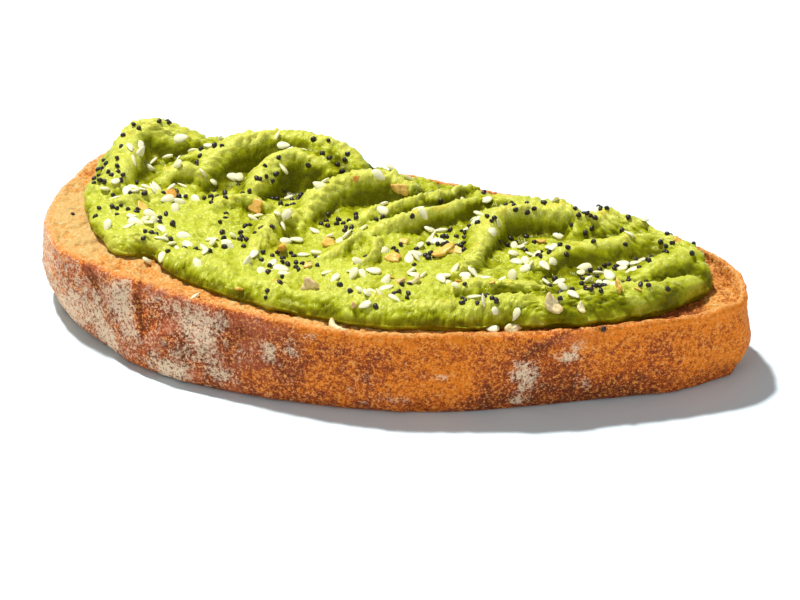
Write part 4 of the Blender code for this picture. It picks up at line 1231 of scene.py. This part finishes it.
class TOAST_OT_poppy(Operator):
    """Scatters the poppy seeds"""

    bl_idname = "toast.poppy"
    bl_label = "Poppy"

    def execute(self, context):
        settings = context.scene.toast_sprinkles
        piece = add_seeds(
            "poppy_seeds", seed_shape(9, poppy_section), 12, POPPY_CLUSTERS, settings.loose_poppy,
            apart=0.5, length=settings.poppy_length, variety=(0.88, 1.12), sink=(0.0, 0.2), tilt=0.7,
        )
        finish = sprinkle_finish(
            "poppy", settings.poppy, shade=(0.030, 0.014, 0.010), roughness=0.42, grain_size=0.25,
            depth=0.05 * MM,
        )
        settle(piece, finish)
        return {"FINISHED"}


class TOAST_OT_onion(Operator):
    """Scatters the flakes of dried onion"""

    bl_idname = "toast.onion"
    bl_label = "Onion"

    def execute(self, context):
        settings = context.scene.toast_sprinkles
        shapes = [flake_shape(seed, 0.07, 0.5) for seed in range(8)]
        piece = add_flakes("onion_flakes", shapes, 13, ONION, longer=1.4, sink=(0.0, 0.06))
        finish = sprinkle_finish(
            "onion", settings.onion, shade=(0.72, 0.30, 0.03), roughness=0.4, grain_size=0.6,
            depth=0.1 * MM, glow=0.3, edge=0.6,
        )
        settle(piece, finish)
        return {"FINISHED"}


class TOAST_OT_garlic(Operator):
    """Scatters the chips of dried garlic"""

    bl_idname = "toast.garlic"
    bl_label = "Garlic"

    def execute(self, context):
        settings = context.scene.toast_sprinkles
        shapes = [flake_shape(seed, 0.13, 0.9) for seed in range(10, 16)]
        piece = add_flakes("garlic_chips", shapes, 14, GARLIC, longer=1.25, sink=(0.02, 0.1))
        finish = sprinkle_finish(
            "garlic", settings.garlic, shade=(0.70, 0.42, 0.12), roughness=0.45, grain_size=0.7,
            depth=0.12 * MM, glow=0.2, edge=0.5,
        )
        settle(piece, finish)
        return {"FINISHED"}


# ---- Stage ----
AIM = (1.2, 4.5, 5.0)  # the point that the camera looks at
KEY_RISE = math.radians(65.5)
KEY_SIDE = (-0.88 * math.cos(KEY_RISE), 0.475 * math.cos(KEY_RISE), math.sin(KEY_RISE))
SKY_BLUE = (0.86, 0.95, 1.0, 1)
FLOOR_HALF = 1500
LAMP_DISTANCE = 1.6  # in metres, like the lamps' sizes


def add_lamp(name, towards, size, power):
    """A square lamp that shines on the toast from that side."""
    lamp = bpy.data.lights.new(name, "AREA")
    lamp.energy = power
    lamp.size = size
    holder = bpy.data.objects.new(name, lamp)
    bpy.context.scene.collection.objects.link(holder)
    side = Vector(towards).normalized()
    holder.location = side * LAMP_DISTANCE
    holder.rotation_euler = side.to_track_quat("Z", "Y").to_euler()


class TOAST_OT_stage(Operator):
    """Sets up the camera, the lamps and the pale floor"""

    bl_idname = "toast.stage"
    bl_label = "Stage"

    def execute(self, context):
        settings = context.scene.toast_stage
        scene = context.scene
        turn, rise = settings.azimuth, settings.elevation
        back = Vector((math.sin(turn) * math.cos(rise), -math.cos(turn) * math.cos(rise), math.sin(rise)))
        camera = bpy.data.cameras.new("camera")
        camera.lens = settings.lens
        camera.sensor_width = 36
        holder = bpy.data.objects.new("camera", camera)
        scene.collection.objects.link(holder)
        holder.location = Vector(AIM) * MM + back * settings.distance
        holder.rotation_euler = back.to_track_quat("Z", "Y").to_euler()
        scene.camera = holder

        add_lamp("key", KEY_SIDE, 0.12, settings.key)
        add_lamp("fill", (-0.3, -1.0, 0.5), 1.2, settings.fill)
        add_lamp("side", (1.0, -0.15, 0.35), 0.9, settings.side)
        world = bpy.data.worlds.new("sky")
        world.use_nodes = True
        light = world.node_tree.nodes["Background"].inputs
        light["Color"].default_value = SKY_BLUE
        light["Strength"].default_value = settings.sky
        scene.world = world
        scene.view_settings.view_transform = "Standard"

        corners = [(x * FLOOR_HALF, y * FLOOR_HALF, 0) for x, y in ((-1, -1), (1, -1), (1, 1), (-1, 1))]
        floor = add_mesh("floor", corners, [(0, 1, 2, 3)])
        floor.data.materials.append(Finish("floor", 0.9, 0.2).finish(Base_Color=settings.floor))
        return {"FINISHED"}


class TOAST_PT_panel(Panel):
    """Lists the steps that make the avocado toast"""

    bl_idname = "TOAST_PT_panel"
    bl_label = "Avocado Toast"
    bl_space_type = "VIEW_3D"
    bl_region_type = "UI"
    bl_category = "Toast"

    def draw(self, context):
        scene = context.scene
        for operator, settings in STEPS:
            self.layout.operator(operator.bl_idname)
            for name in getattr(scene, settings).__annotations__ if settings else ():
                self.layout.prop(getattr(scene, settings), name)


STEPS = (
    (TOAST_OT_stage, "toast_stage"),
    (TOAST_OT_slice, "toast_slice"),
    (TOAST_OT_avocado, "toast_spread"),
    (TOAST_OT_garlic, "toast_sprinkles"),
    (TOAST_OT_onion, None),
    (TOAST_OT_sesame, None),
    (TOAST_OT_poppy, None),
)
SETTINGS = {
    "toast_stage": StageSettings,
    "toast_slice": ToastSettings,
    "toast_spread": SpreadSettings,
    "toast_sprinkles": SprinkleSettings,
}
CLASSES = (*SETTINGS.values(), *(operator for operator, _ in STEPS), TOAST_PT_panel)


def register():
    for each in CLASSES:
        bpy.utils.register_class(each)
    for name, group in SETTINGS.items():
        setattr(bpy.types.Scene, name, PointerProperty(type=group))


def unregister():
    for name in SETTINGS:
        delattr(bpy.types.Scene, name)
    for each in reversed(CLASSES):
        bpy.utils.unregister_class(each)


def main():
    register()
    for operator, _ in STEPS:
        group, name = operator.bl_idname.split(".")
        getattr(getattr(bpy.ops, group), name)()


if __name__ == "__main__":
    main()
